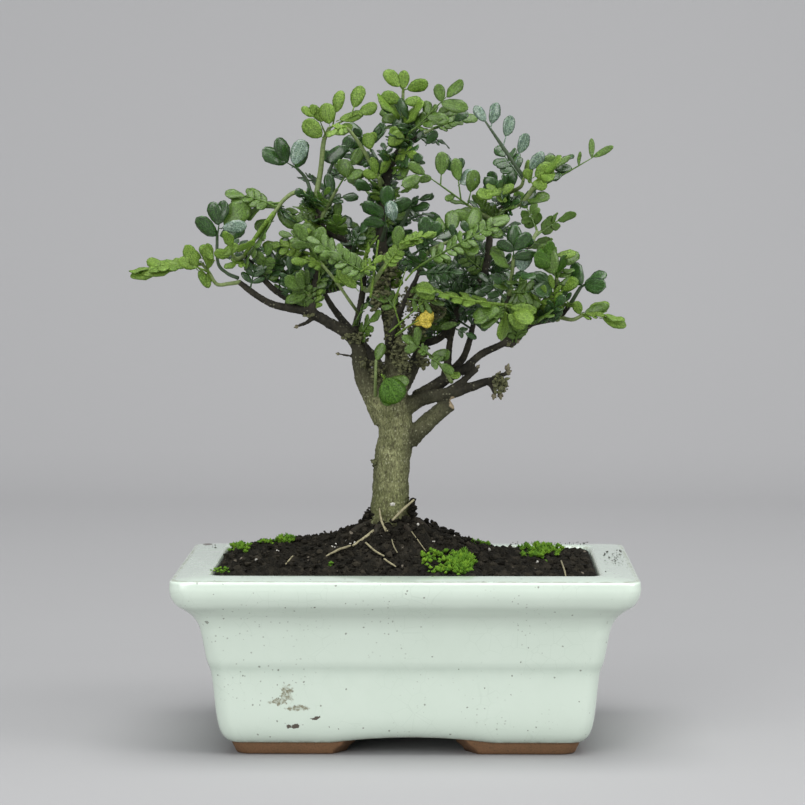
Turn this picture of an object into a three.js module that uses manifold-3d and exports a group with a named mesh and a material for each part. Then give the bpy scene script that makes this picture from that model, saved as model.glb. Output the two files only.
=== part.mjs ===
// A Chinese pepper bonsai in its glazed oblong pot, in millimetres, +Z up.
// The tree's front faces -Y. At the end the whole is moved so that the origin is the middle of its box, on the
// surface it stands on. Until then the pot's middle is at x = 0, y = 0 and its feet stand at POT_BASE.
import * as THREE from 'three';
import Module from 'manifold-3d';

const wasm = await Module();
wasm.setup();

// Pot
const RIM_LENGTH = 208;
const RIM_DEPTH = 155;
const POT_BASE = -1.5;
const POT_TOP = 80.5;
const RIM_CORNER = 8;
const CORNER_SHRINK = 0.06;
const CORNER_STEPS = 3;
const OPENING_HALF_LENGTH = 86;
const OPENING_HALF_DEPTH = 59;
const OPENING_CORNER = 8;
const FLOOR_HALF_LENGTH = 75;
const FLOOR_HALF_DEPTH = 49;
const FLOOR_TOP = 14;
const RIM_FLARE = 0.8;
const RECESS_TOP = 5.6;
const RECESS_HALF_LENGTH = 64;
const RECESS_HALF_DEPTH = 39;
const FRONT_FOOT_GAP = 65;
const SIDE_FOOT_GAP = 44;
const DRAIN_RADIUS = 8;
const DRAIN_X = 38;
const DRAIN_SIDES = 16;

// Height and half length of the pot's outside, from the foot up to the rim's flat top
const POT_OUTLINE = [
  [POT_BASE, 76.2], [1.5, 77.2], [4, 78.4], [5, 80.4], [8.5, 82.8], [16, 84.6], [33, 86.4], [38, 87.3],
  [40.5, 88.6], [53, 90.7], [58, 91.9], [62, 94.2], [65, 97.3], [68, 101.1], [71.5, 103.2], [75.5, 104],
  [79.5, 103.4], [POT_TOP, 102.4],
];
// One side of the cloud shaped gap between two feet: distance in from the foot's end, and height
const FOOT_GAP_SIDE = [[0, -2.5], [1, 0.6], [4.5, 2.8], [6, 5.4], [9.5, 6.8]];

// Drain screens
const SCREEN_SIZE = 27;
const SCREEN_THICK = 1.2;
const SCREEN_CELLS = 2;
const SCREEN_BAR = 2;

// Clearances
const GAP = 0.3;
const SEAT = 0.35;

// Soil
const SOIL_EDGE_Z = 79;
const SOIL_RINGS = 7;
const EDGE_FADE = 12;
const MOUND_HEIGHT = 19;
const MOUND_CENTRE = [-2, 2];
const MOUND_SPREAD = [24, 31];
const RIDGE_HEIGHT = 7.5;
const RIDGE_CENTRE = [-57, 6];
const RIDGE_SPREAD = [24, 30];
const CLOD_RELIEF = 1.1;

// Leaves
const BLADE_THICK = 0.7;
const PETIOLE_HALF = 0.5;
const WING_HALF = 0.85;
const LEAFLET_POINTS = [[0.48, -0.27], [0.95, -0.13], [0.95, 0.13], [0.48, 0.27]];
const SMALL_LEAFLET = 8.2;
const SMALL_POINTS = [[0.5, -0.29], [1, 0], [0.5, 0.29]];
const SHORT_STALK = 1.5;
const ROOT_SPACE = 0.7;
const STALK_SINK = 0.6;
const LEAFLET_GROWTH = 1.15;
const LEAFLET_SPREAD = 56 * Math.PI / 180;
const LEAFLET_CUP = 0.14;
const STEM_SIDES = 3;

// The eye point that the tree's front is composed from. Places are read in the plane y = 0 and slide along the
// line of sight to their own depth.
const EYE = new THREE.Vector3(30, -1461, 244.5);

const TONES = {
  dark: 0x2c5128,
  mid: 0x4d8230,
  light: 0x86ad45,
  yellow: 0xcaa83c,
};

// Which way a blade's upper face looks
const FACES = {
  up: [0, -0.6, 0.8],
  half: [0, -0.7, 0.7],
  front: [0, -1, 0.2],
  left: [-0.9, -0.3, 0.35],
  right: [0.9, -0.3, 0.35],
  back: [0, 0.75, 0.65],
};

// Trunk and limbs: centre points with x and z as seen from the front, y as depth, and the radius at each
const TRUNK = [
  [-8, 0, 62, 9], [-8, 0, 84, 10], [-8, 0, 94, 11], [-7.8, 0, 100, 9.8], [-7.6, 0, 108, 8.9],
  [-7.4, 0, 118, 8.2], [-6.8, 0, 127, 8.4], [-5.2, 0, 136, 8.3], [-5.4, 0, 143, 7.9], [-6.6, 0, 150, 8.8],
  [-7, 1, 157, 8], [-6, 1, 166, 5.6], [-5.5, 1, 177, 4.4], [-8.5, 2, 194, 3.3],
];
const LIMBS = [
  // the leader
  [[-7, 1, 186, 3.6], [-9.5, 2, 200, 3], [-10.5, 3, 216, 2.6], [-11.5, 2, 233, 2.4], [-11, 1, 248, 2.4],
    [-9, 0, 259, 2.3], [-4.5, -2, 267.5, 1.9], [0, -3, 272, 1.6], [4, -4, 275.5, 1]],
  // the long left limb and its two twigs
  [[-9, 0, 146, 7], [-14.5, 0, 156, 5.8], [-19.5, -1, 165, 4.6], [-21.4, -1, 173, 3.8], [-23, -2, 180, 3.2],
    [-28, -2, 185.5, 2.9], [-35, -3, 189.6, 2.6], [-46, -4, 195.4, 2.4], [-53, -4, 196.6, 1.9],
    [-61, -5, 198.3, 1.7], [-67, -5, 201.2, 1.5], [-72.5, -4, 205, 1.5], [-77.5, -4, 209, 1.2]],
  [[-45, -4, 195.4, 2.2], [-52, -2, 199.6, 1.7], [-57, -1, 202.4, 1.5], [-62.5, -1, 206.5, 1.4],
    [-68, -1, 212.4, 1.2], [-71.6, -2, 217, 1.3], [-74.6, -2, 221, 1]],
  // the upright twig on the left limb, with its side twig
  [[-44, -4, 195, 2.4], [-43.4, -3, 203, 1.9], [-42, -1, 212, 1.6], [-41.6, 0, 218, 1.2]],
  [[-42.6, -2, 204.4, 1], [-36, 2, 204.4, 0.9], [-31, 5, 205.4, 0.7]],
  // stubs on the left limb
  [[-43, -4, 192.5, 1.2], [-46.5, -6, 190, 0.9], [-50, -7, 188.7, 0.8]],
  [[-22, -1, 174.5, 0.8], [-27, -2, 174.9, 0.6], [-31, -2, 175.6, 0.5]],
  // the second stem
  [[-22.8, -1, 179, 2.6], [-23.8, 1, 186, 1.9], [-22, 3, 195, 1.7], [-20.4, 3, 204, 1.5], [-19.6, 2, 214, 1.2]],
  // the upper left branch, cut at its end
  [[-19.8, 3, 211, 1.3], [-24, 6, 221, 1.6], [-29.5, 6, 228.5, 1.8], [-36, 4, 231.4, 1.8],
    [-39.6, 2, 234.6, 1.8], [-41.2, 1, 240, 1.7], [-43.4, 1, 247, 1.3]],
  // the blunt stub low on the right
  [[1, -1, 136, 4.5], [7, -3, 142, 4.2], [13, -4, 147.4, 4], [20, -5, 152.6, 3.2]],
  // the right limb that ends in buds
  [[-2, -1, 151, 5], [5, -3, 154.2, 3.6], [12, -5, 156.4, 3], [21, -6, 158, 2.9], [30, -7, 160.8, 2.2],
    [37, -8, 163.2, 1.8], [41.5, -8, 163.6, 1.6]],
  [[19, -6, 158.6, 2], [26, -5, 163.6, 1.5], [32, -4, 169, 1.5]],
  [[40, -8, 163.6, 1.4], [43, -9, 161, 1.5], [42.6, -9, 158, 0.8]],
  [[38, -8, 163.2, 1.2], [41.6, -7, 165.6, 1], [45.4, -8, 166.6, 1], [45.8, -8, 168, 0.6]],
  [[36.6, -8, 163.2, 1], [38.8, -10, 160.4, 0.8], [40, -11, 157.6, 0.6]],
  // the long right limb
  [[4, 2, 155.5, 3.2], [13, 1, 161, 2.8], [21, -2, 166, 2.4], [27, -3, 169.4, 2], [34, -5, 175.6, 1.8],
    [43, -7, 180, 1.6], [51, -8, 185, 1.8], [56.6, -9, 189.4, 1.5], [62, -9, 190.8, 1.3],
    [69.4, -8, 192.6, 1.3], [74, -9, 197.4, 1.1], [76, -10, 200.6, 0.8]],
  [[44.6, -7, 180.4, 1.3], [47.6, -8, 180.2, 1.4], [50, -8, 181, 1.1]],
  [[56, -9, 189.2, 1], [58.6, -9, 192.4, 0.7]],
  // the black branch and the grey branch behind it, up to the right hand crown
  [[-3, 3, 178, 2.6], [5, 5, 180.2, 2], [11, 6, 181.2, 1.8], [16.6, 6, 184.2, 1.7], [20.4, 6, 190, 1.5],
    [23.6, 5, 196.6, 1.6]],
  [[17, 0, 163.6, 2.2], [18.8, 4, 172, 1.7], [19.6, 6, 180, 1.5], [21.2, 6, 188, 1.5], [24, 5, 197, 1.7],
    [30, 3, 204.4, 1.7], [35, 1, 212, 1.6], [37.4, 0, 222, 1.7], [38.2, -1, 231.6, 1.6],
    [41.4, -2, 238.4, 1.5], [44.8, -2, 244.6, 1.5], [46, -3, 250.6, 1]],
  // the dark branch inside the right hand crown
  [[21, 1, 168, 1.9], [26, 6, 174, 1.7], [28.6, 11, 181, 1.5], [31, 16, 190, 1.2], [36, 21, 199, 1]],
  // twig carrying the low right sprays
  [[45, -7, 180.6, 1.3], [43.4, -10, 188, 1], [44.6, -12, 196, 1], [47.2, -14, 204, 0.9]],
  // limbs toward the front and the back, which round the crown out
  [[-8, -3, 176, 3], [-7, -9, 185, 1.9], [-3, -13, 196, 1.5], [4, -15, 210, 1.1], [6, -15, 216, 0.9]],
  [[-6, 5, 156, 4.4], [-13, 17, 170, 3], [-23, 29, 183, 2.2], [-34, 40, 197, 1.5], [-40, 46, 208, 1]],
  [[-3, 5, 160, 4.2], [6, 19, 176, 2.8], [12, 32, 191, 2.1], [17, 44, 206, 1.5], [22, 50, 217, 1]],
  [[-9, 4, 200, 2.4], [-11, 15, 213, 1.8], [-13, 25, 228, 1.5], [-16, 31, 243, 1]],
  [[32, 4, 206, 1.5], [40, 13, 211, 1.3], [50, 22, 219, 1.1], [57, 28, 226, 0.8]],
];
const TRUNK_SIDES = 9;
const LIMB_SIDES = 5;
const TWIG_SIDES = 4;
const TWIG_RADIUS = 2;

// Roots that leave the trunk's flare along the soil: direction in degrees, reach, radius at the trunk
const SURFACE_ROOTS = [
  [205, 23, 2.6], [248, 19, 2.2], [300, 22, 2.4], [345, 20, 2.8], [70, 22, 2.6], [130, 24, 2.8],
];

// Leafy sprays. stem: centre points. thick: radius at its two ends. leaves: [place along the stem from 0 to 1,
// tip x, tip y, tip z, side leaflets, leaflet length, bare part of the stalk from 0 to 1, arch, face, tone]. Side
// leaflets are a number of pairs, or a list of their tips as [x, z] seen from the front.
const SPRAYS = [
  { name: 'spray_left_tip', tone: 'light', thick: [0.9, 0.6],
    stem: [[-76.5, -4, 208.8], [-82, -5, 208], [-87.5, -6, 207.8], [-91, -8, 213], [-94.5, -9, 217.5]],
    leaves: [
      [0.97, -128, -15, 213.2, 3, 10.5, 0.12, 1.5, 'up', 'light'],
      [0.75, -104.8, -22, 219, [[-102.5, 225.5], [-91, 226.5], [-92, 206]], 10, 0.2, 1.5, 'front', 'light'],
    ] },
  { name: 'spray_left_riser', tone: 'dark', thick: [0.8, 0.6],
    stem: [[-77.5, -3, 210.5], [-83, -4, 213], [-87, -6, 218], [-87.3, -8, 232]],
    leaves: [
      [0.93, -84.5, -14, 246, [[-97.5, 237.5], [-92, 244.5], [-74.6, 234.5]], 11, 0.1, 1, 'front', 'dark'],
    ] },
  { name: 'spray_left_fan', tone: 'light', thick: [0.9, 0.7],
    stem: [[-74.6, -2, 220.5], [-78.5, -11, 219.5], [-80.5, -17, 221.5]],
    leaves: [
      [0.95, -83, -28, 232, [[-71, 229.5], [-88.5, 223]], 9, 0.2, 1, 'front', 'light'],
    ] },
  { name: 'spray_left_inner', tone: 'dark', thick: [1, 0.7],
    stem: [[-74, 0, 220], [-73, 5, 218.4], [-69, 9, 218.2]],
    leaves: [
      [0.97, -57.3, 7, 217.5, 1, 8, 0.1, 0.8, 'up', 'dark'],
      [0.5, -80, 27, 228, 2, 9, 0.35, 2, 'half', 'dark'],
      [0.75, -62, 29, 226, 2, 9, 0.35, 2, 'up', 'dark'],
    ] },
  { name: 'spray_arch_left', tone: 'mid', thick: [1, 0.8],
    stem: [[-43, -1, 244.5], [-47, -3, 249.5], [-52, -3, 249.7], [-57, -4, 246], [-61, -5, 240.5]],
    leaves: [
      [0.98, -77, -9, 215.5, 3, 8, 0.08, -1, 'left', 'mid'],
      [0.9, -83.5, -6, 250.5, 2, 10, 0.15, 1, 'up', 'mid'],
      [0.8, -86, 7, 238.5, 2, 9.5, 0.25, 2, 'half', 'mid'],
      [0.94, -49.5, 3, 235.5, 1, 8, 0.1, 1, 'up', 'dark'],
    ] },
  { name: 'spray_gloss_left', tone: 'dark', thick: [0.8, 0.6],
    stem: [[-43.2, 2, 246], [-46, 4, 255.5], [-50.5, 1, 261]],
    leaves: [
      [0.95, -66, -7, 269.5, [[-60.5, 274.5], [-47.5, 273.5]], 13, 0.1, 1, 'front', 'dark'],
    ] },
  { name: 'spray_light_shoot', tone: 'light', thick: [1.2, 0.8],
    stem: [[-42.4, 1, 244.5], [-39.6, 0, 260], [-38.2, -2, 273], [-35.5, -3, 279.5]],
    leaves: [
      [0.8, -43, -7, 289.8, [[-48, 280.5], [-36.5, 290.5]], 8, 0.1, 1, 'front', 'light'],
      [0.98, -13.5, -8, 289.8, [[-31, 296.5], [-22.5, 298.8], [-20, 285]], 9, 0.1, 2, 'front', 'light'],
    ] },
  { name: 'spray_behind_shoot', tone: 'dark', thick: [0.9, 0.7],
    stem: [[-40.9, 2, 237.5], [-38, 7, 248], [-36, 10, 258], [-34, 11, 263]],
    leaves: [
      [0.95, -24.5, 12, 275, [[-38, 269]], 10, 0.15, 1, 'front', 'dark'],
      [0.6, -25, 27, 259, 2, 9, 0.3, 1, 'half', 'dark'],
      [0.45, -50, 26, 256, 2, 9, 0.3, 1.5, 'back', 'dark'],
    ] },
  { name: 'spray_round_mid', tone: 'mid', thick: [0.8, 0.6],
    stem: [[-40.2, 1, 236.5], [-36, -1, 244.5], [-32, -3, 251.5]],
    leaves: [
      [0.95, -20.5, -5, 270, [[-30, 265.5], [-19, 258.5]], 9, 0.2, 1, 'front', 'mid'],
      [0.6, -22.2, 0, 248.3, 1, 9.5, 0.2, 0.8, 'up', 'dark'],
    ] },
  { name: 'spray_curl', tone: 'light', thick: [0.9, 0.6],
    stem: [[-11, -1, 254], [-15, -4, 260], [-19.5, -7, 268.5], [-25, -10, 276.5], [-28.5, -12, 280]],
    leaves: [
      [0.97, -37, -19, 275.2, 1, 6.5, 0.3, 1.5, 'half', 'light'],
      [0.55, -15, -13, 276.8, 0, 9, 0.15, 1, 'front', 'light'],
    ] },
  { name: 'spray_crown_back', tone: 'dark', thick: [1, 0.7],
    stem: [[-10.4, 1, 256], [-13, 13, 263], [-16, 21, 269]],
    leaves: [
      [0.95, -26, 24, 282, [[-12, 282], [-29.5, 272]], 9.5, 0.1, 1, 'front', 'dark'],
      [0.4, 3, 28, 266, 2, 9, 0.3, 1.5, 'up', 'dark'],
      [0.6, -30, 38, 266, 2, 9, 0.3, 1.5, 'back', 'dark'],
    ] },
  { name: 'spray_bud_bright', tone: 'light', thick: [0.9, 0.7],
    stem: [[-11.4, -1, 247], [-13, -8, 257]],
    leaves: [
      [0.9, -20, -11, 259.5, [[-16.5, 266], [-9, 265.5]], 7, 0.1, 1, 'front', 'light'],
    ] },
  { name: 'spray_top', tone: 'light', thick: [1, 0.6],
    stem: [[-3.4, -2, 268], [-2.2, -3, 281], [-1.8, -4, 296.5]],
    leaves: [
      [0.98, -1.5, -7, 305.4, [[-9.8, 305.6], [9.2, 301]], 8.5, 0.02, 1, 'front', 'light'],
      [0.56, -11.5, -14, 295.5, 0, 12.5, 0.08, 1.5, 'half', 'light'],
      [0.5, 6.2, -14, 291.6, 0, 12, 0.05, 1.5, 'half', 'light'],
      [0.38, -12, 8, 288.5, 1, 9.5, 0.2, 1.5, 'half', 'mid'],
      [0.3, 5.5, 8, 285.6, 1, 8.5, 0.2, 1, 'half', 'mid'],
    ] },
  { name: 'spray_arch_right', tone: 'mid', thick: [0.9, 0.6],
    stem: [[-3, -4, 269], [1, -9, 276.5]],
    leaves: [
      [0.95, 25.5, -16, 301, [[9, 292], [14.5, 299.5], [19.5, 282.5], [27.5, 288]], 10.5, 0.15, 1,
        'front', 'mid'],
      [0.5, -7, -14, 279, 0, 9, 0.1, 1, 'front', 'light'],
    ] },
  { name: 'spray_strip_right', tone: 'mid', thick: [0.8, 0.6],
    stem: [[2, -3, 273.5], [6, 0, 276], [12, 3, 279]],
    leaves: [
      [0.97, 32.5, 5, 284.5, 3, 8.5, 0.1, 0.8, 'up', 'mid'],
      [0.4, 20.3, 9, 271.5, 2, 9, 0.15, 0.8, 'up', 'dark'],
    ] },
  { name: 'spray_centre_right', tone: 'mid', thick: [1, 0.6],
    stem: [[40.6, -2, 237], [35, -8, 239.5], [28, -12, 244]],
    leaves: [
      [0.97, 0.5, -20, 263.4, [[15, 268.5], [24.5, 266], [32, 260], [-3.5, 253.5], [17, 246.5]],
        9, 0.1, 1, 'front', 'mid'],
      [0.6, 20.8, -8, 240.6, 0, 11.5, 0.1, 1, 'half', 'mid'],
    ] },
  { name: 'spray_star', tone: 'dark', thick: [1, 0.7],
    stem: [[-11.4, 1, 228], [-10.5, -9, 231.5], [-10, -16, 235]],
    leaves: [
      [0.95, -9, -26, 253, [[-20.5, 246], [-20, 238], [1, 247.5]], 10.5, 0.1, 1, 'front', 'dark'],
    ] },
  { name: 'spray_dark_strips', tone: 'dark', thick: [1, 0.6],
    stem: [[-9.6, 2, 226.5], [-4, 0, 232], [0, -3, 240], [1, -4, 244.5]],
    leaves: [
      [0.97, 12, -8, 249, 1, 9, 0.1, 0.8, 'up', 'dark'],
      [0.8, 9.7, -12, 244, 0, 9.5, 0.2, 1, 'half', 'dark'],
      [0.5, 12, 16, 240, 2, 9, 0.3, 1.5, 'half', 'dark'],
    ] },
  { name: 'spray_long_strip', tone: 'mid', thick: [0.9, 0.6],
    stem: [[5.6, -15, 215], [10, -19, 223], [20, -22, 228]],
    leaves: [
      [0.97, 46.8, -27, 239, [[20.8, 241], [33, 242], [33, 222], [43, 229]], 10, 0.1, 1, 'half', 'mid'],
      [0.5, 8, -30, 238, [[15.5, 236.5]], 11, 0.1, 1, 'front', 'dark'],
    ] },
  { name: 'spray_bright_strip', tone: 'light', thick: [0.9, 0.9],
    stem: [[-20, 2, 206], [-18, -12, 205], [-14, -25, 211], [-8, -33, 219.5], [-2, -37, 225.5]],
    leaves: [
      [0.98, 13.5, -45, 231, 1, 9.5, 0.1, 1.5, 'up', 'light'],
      [0.88, -4, -39, 234.5, 0, 8, 0.1, 1, 'half', 'mid'],
    ] },
  { name: 'spray_fan_left', tone: 'light', thick: [0.9, 0.7],
    stem: [[-19.7, 2, 212], [-20.5, -7, 215], [-22, -14, 213]],
    leaves: [
      [0.5, -13.8, -14, 230.5, 2, 7, 0.35, 1, 'left', 'light'],
      [0.96, -33.8, -22, 209.5, 1, 10, 0.1, 1.5, 'front', 'light'],
    ] },
  { name: 'spray_mid_left', tone: 'mid', thick: [0.7, 0.6],
    stem: [[-22, 3, 194], [-26, -9, 199.5], [-33, -14, 209.5], [-41, -17, 219]],
    leaves: [
      [0.97, -51.5, -24, 235.5, [[-38.5, 234], [-33, 224], [-53.5, 226]], 9.5, 0.05, 1.5, 'front', 'mid'],
      [0.92, -53.5, -22, 218.6, 1, 8.5, 0.1, 0.8, 'up', 'light'],
    ] },
  { name: 'spray_twig_top', tone: 'light', thick: [1, 0.7],
    stem: [[-41.8, 0, 215], [-42, -3, 221]],
    leaves: [
      [0.95, -66.5, -6, 226.6, 2, 9, 0.2, 1.2, 'up', 'light'],
      [0.7, -59, 3, 221.2, 1, 8.5, 0.2, 0.8, 'up', 'light'],
      [0.85, -36, 14, 233, 2, 9, 0.3, 1.5, 'half', 'mid'],
    ] },
  { name: 'spray_twig_low', tone: 'mid', thick: [0.9, 0.7],
    stem: [[-43.4, -3, 201], [-45.4, -8, 203.5]],
    leaves: [
      [0.95, -56, -14, 211, [[-50, 213.5]], 10, 0.05, 1, 'front', 'mid'],
      [0.75, -56, -9, 200.5, 0, 9.5, 0.15, 1, 'front', 'mid'],
    ] },
  { name: 'spray_arc_right', tone: 'dark', thick: [0.9, 0.6],
    stem: [[46, -3, 249.5], [52, -9, 252.5], [53.5, -12, 257]],
    leaves: [
      [0.97, 31, -20, 289.3, [[62, 268.5], [54.8, 277], [49, 284.6], [42.3, 290.5]], 8.5, 0.05, 0,
        'front', 'dark'],
      [0.8, 41, 6, 271, 2, 9, 0.2, 1, 'front', 'dark'],
    ] },
  { name: 'spray_right_bright', tone: 'light', thick: [1.2, 0.9],
    stem: [[43, -3, 241], [49, -6, 243.5], [54, -8, 246.5], [58, -11, 252.5]],
    leaves: [
      [0.97, 71, -25, 266, [[54, 261.5], [67.5, 255]], 12, 0.1, 1.5, 'half', 'light'],
      [0.92, 76, -1, 268, 1, 8.5, 0.2, 1, 'half', 'dark'],
      [0.87, 94, -14, 271.5, 2, 12, 0.45, -3, 'right', 'mid'],
      [0.6, 64.8, -13, 249, 0, 11, 0.15, 1, 'half', 'mid'],
    ] },
  { name: 'spray_small_bright', tone: 'light', thick: [1, 0.7],
    stem: [[45, -2, 245.5], [45.4, -8, 249.5]],
    leaves: [
      [0.95, 32.3, -22, 248.6, 1, 10.5, 0.1, 1, 'half', 'light'],
      [0.75, 48.8, -12, 259.4, [[38, 259]], 9, 0.1, 1, 'front', 'dark'],
    ] },
  { name: 'spray_gloss_right', tone: 'dark', thick: [0.9, 0.7],
    stem: [[46.8, -14, 203], [48, -20, 212], [48.8, -24, 221]],
    leaves: [
      [0.93, 49, -30, 234.2, [[57.8, 230], [58.4, 221], [41.5, 228.5]], 11, 0.05, 1, 'front', 'dark'],
      [0.6, 39, -32, 222.5, 0, 12.5, 0.2, 1, 'half', 'mid'],
      [0.45, 58.5, -30, 212, 1, 9, 0.15, 1, 'half', 'dark'],
      [0.25, 38, -28, 211, 1, 9, 0.2, 1, 'half', 'dark'],
    ] },
  { name: 'spray_bright_tall', tone: 'light', thick: [1.1, 0.8],
    stem: [[69, -8, 191], [68.3, -10, 203], [68.6, -13, 211]],
    leaves: [
      [0.98, 64, -24, 227.6, [[57, 221.5], [73, 221.5]], 12, 0.1, 1.5, 'half', 'light'],
      [0.93, 78, -8, 223.5, 1, 9.5, 0.2, 1, 'up', 'light'],
      [0.7, 78, -20, 209, 0, 10.5, 0.1, 1, 'front', 'light'],
      [0.8, 57, -15, 210, [[60, 201]], 10.5, 0.1, 1, 'half', 'dark'],
    ] },
  { name: 'spray_right_pair', tone: 'dark', thick: [0.9, 0.7],
    stem: [[74.6, -9, 198], [77.5, -11, 203], [79.7, -12, 206.6]],
    leaves: [
      [0.93, 91, -17, 213.4, [[77.5, 217], [91, 205.5]], 11, 0.1, 1, 'half', 'dark'],
    ] },
  { name: 'spray_right_tip', tone: 'light', thick: [0.9, 0.7],
    stem: [[70.4, -8, 192.6], [76, -11, 191.6], [80.5, -12, 193.6]],
    leaves: [
      [0.97, 100, -17, 190.3, 2, 11, 0.1, 2, 'up', 'light'],
      [0.85, 92.6, -6, 199, 0, 10, 0.3, 1, 'up', 'light'],
    ] },
  { name: 'spray_low_right', tone: 'light', thick: [1, 0.9],
    stem: [[44.4, -12, 194], [45.6, -19, 198.5]],
    leaves: [
      [0.97, 4.5, -34, 208, 3, 10, 0.1, -2, 'up', 'light'],
      [0.95, 58.8, -28, 195.5, [[55, 188.5]], 12, 0.1, 1, 'half', 'light'],
      [0.7, 45.8, -26, 183, 0, 12, 0.1, 1, 'right', 'light'],
      [0.85, 31, -30, 190, 1, 9.5, 0.25, 1, 'half', 'mid'],
    ] },
  { name: 'leaf_yellow', tone: 'yellow', thick: [0.7, 0.6],
    stem: [[-6.6, -7, 183], [-1, -13, 187.4]],
    leaves: [
      [0.95, 11.8, -16, 193.4, 1, 7.5, 0.35, 0.8, 'half', 'yellow'],
    ] },
  { name: 'leaf_trunk_small', tone: 'mid', thick: [0.7, 0.6],
    stem: [[-14.6, -5, 156], [-14.6, -11, 164], [-14.3, -13, 173]],
    leaves: [
      [0.97, -11.5, -14, 180.8, 0, 8.5, 0.05, 1, 'front', 'mid'],
    ] },
  { name: 'leaf_trunk_bright', tone: 'mid', thick: [0.7, 0.6],
    stem: [[-12.6, -6, 156], [-10.4, -14, 163]],
    leaves: [
      [0.95, 0.3, -19, 163.4, [[-7.5, 152]], 10, 0.05, 1, 'front', 'mid'],
    ] },
  { name: 'spray_low_petiole', tone: 'mid', thick: [0.8, 0.6],
    stem: [[20.6, -5, 162.6], [15, -12, 171], [7, -18, 178]],
    leaves: [
      [0.93, -2, -22, 184.4, [[4, 188.5], [-1.5, 177.5]], 8, 0.1, 1, 'front', 'mid'],
      [0.6, 19, -19, 177, 0, 9, 0.1, 1, 'half', 'mid'],
    ] },
  { name: 'spray_inner_left', tone: 'dark', thick: [1, 0.7],
    stem: [[-25, 6, 222], [-24, 0, 226]],
    leaves: [
      [0.95, -17, 1, 238, 1, 10, 0.2, 1, 'half', 'dark'],
      [0.4, -28, 14, 240, 2, 9, 0.3, 1, 'half', 'dark'],
    ] },
  { name: 'spray_inner_low', tone: 'dark', thick: [1, 0.7],
    stem: [[24, 5, 195], [28, -1, 200]],
    leaves: [
      [0.95, 40, -4, 212, 2, 9.5, 0.2, 1, 'half', 'dark'],
      [0.4, 14, -4, 213, 2, 9.5, 0.2, 1, 'half', 'dark'],
      [0.2, 37, 8, 187, 1, 9, 0.3, 1, 'half', 'dark'],
    ] },
  { name: 'spray_inner_centre', tone: 'dark', thick: [1, 0.7],
    stem: [[-10, 4, 212], [-2, 10, 218], [4, 13, 222]],
    leaves: [
      [0.97, 22, 17, 232, 2, 10, 0.2, 1.5, 'half', 'dark'],
      [0.55, 17, 25, 212, 2, 10, 0.2, 1.5, 'half', 'dark'],
      [0.25, -3, 24, 235, 2, 9, 0.2, 1.5, 'half', 'dark'],
    ] },
  { name: 'spray_inner_right', tone: 'dark', thick: [1, 0.7],
    stem: [[36, 21, 198], [40, 26, 204]],
    leaves: [
      [0.95, 57, 38, 213, 2, 10, 0.2, 2, 'half', 'dark'],
      [0.55, 27, 40, 219, 2, 10, 0.2, 2, 'half', 'dark'],
      [0.25, 52, 20, 191, 2, 9, 0.2, 1, 'half', 'dark'],
    ] },
  { name: 'spray_back_left', tone: 'mid', thick: [1, 0.7],
    stem: [[-39.5, 45.5, 207], [-44, 50, 214]],
    leaves: [
      [0.97, -62, 58, 226, 2, 10, 0.2, 2, 'back', 'mid'],
      [0.55, -34, 62, 232, 2, 10, 0.2, 2, 'back', 'mid'],
      [0.2, -56, 46, 198, 2, 9.5, 0.2, 2, 'back', 'mid'],
    ] },
  { name: 'spray_back_mid', tone: 'mid', thick: [1, 0.7],
    stem: [[-15.8, 30.5, 242], [-17, 33, 249]],
    leaves: [
      [0.97, -34, 46, 262, 2, 10, 0.2, 2, 'back', 'mid'],
      [0.55, 2, 46, 260, 2, 10, 0.2, 2, 'back', 'mid'],
      [0.2, -16, 56, 240, 2, 10, 0.2, 2, 'back', 'mid'],
    ] },
  { name: 'spray_back_centre', tone: 'dark', thick: [1, 0.7],
    stem: [[21.6, 49.6, 216], [24, 54, 224]],
    leaves: [
      [0.97, 10, 60, 240, 2, 10, 0.2, 2, 'back', 'dark'],
      [0.55, 42, 62, 236, 2, 10, 0.2, 2, 'back', 'dark'],
      [0.2, 20, 68, 212, 2, 9.5, 0.2, 2, 'back', 'dark'],
    ] },
  { name: 'spray_back_right', tone: 'mid', thick: [1, 0.7],
    stem: [[56.6, 27.6, 225.4], [60, 31, 232]],
    leaves: [
      [0.97, 50, 40, 250, 2, 10, 0.2, 2, 'back', 'mid'],
      [0.55, 78, 38, 240, 2, 10, 0.2, 2, 'back', 'mid'],
      [0.2, 68, 48, 222, 2, 9.5, 0.2, 2, 'back', 'mid'],
    ] },
];

// x and z as seen from the eye point in the plane y = 0, moved along the line of sight to depth y
function place([x, y, z]) {
  const reach = (y - EYE.y) / -EYE.y;
  return new THREE.Vector3(EYE.x + (x - EYE.x) * reach, y, EYE.z + (z - EYE.z) * reach);
}

// A closed solid from shared points and triangles
function solidOf(points, triangles) {
  const vertProperties = Float32Array.from(points.flatMap((p) => [p.x, p.y, p.z]));
  const triVerts = Uint32Array.from(triangles.flat());
  return new wasm.Manifold(new wasm.Mesh({ numProp: 3, vertProperties, triVerts }));
}

// A named node with its own material
function meshOf(name, solid, colour, roughness) {
  const { vertProperties, triVerts, numProp } = solid.getMesh();
  const geometry = new THREE.BufferGeometry();
  const positions = new Float32Array((vertProperties.length / numProp) * 3);
  for (let i = 0; i < positions.length / 3; i += 1) {
    positions.set(vertProperties.subarray(i * numProp, i * numProp + 3), i * 3);
  }
  geometry.setAttribute('position', new THREE.BufferAttribute(positions, 3));
  geometry.setIndex(Array.from(triVerts));
  const material = new THREE.MeshStandardMaterial({ color: colour, roughness, metalness: 0 });
  const mesh = new THREE.Mesh(geometry, material);
  mesh.name = name;
  return mesh;
}

// Union of many solids
function join(solids) {
  return solids.reduce((sum, solid) => sum.add(solid));
}

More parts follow.
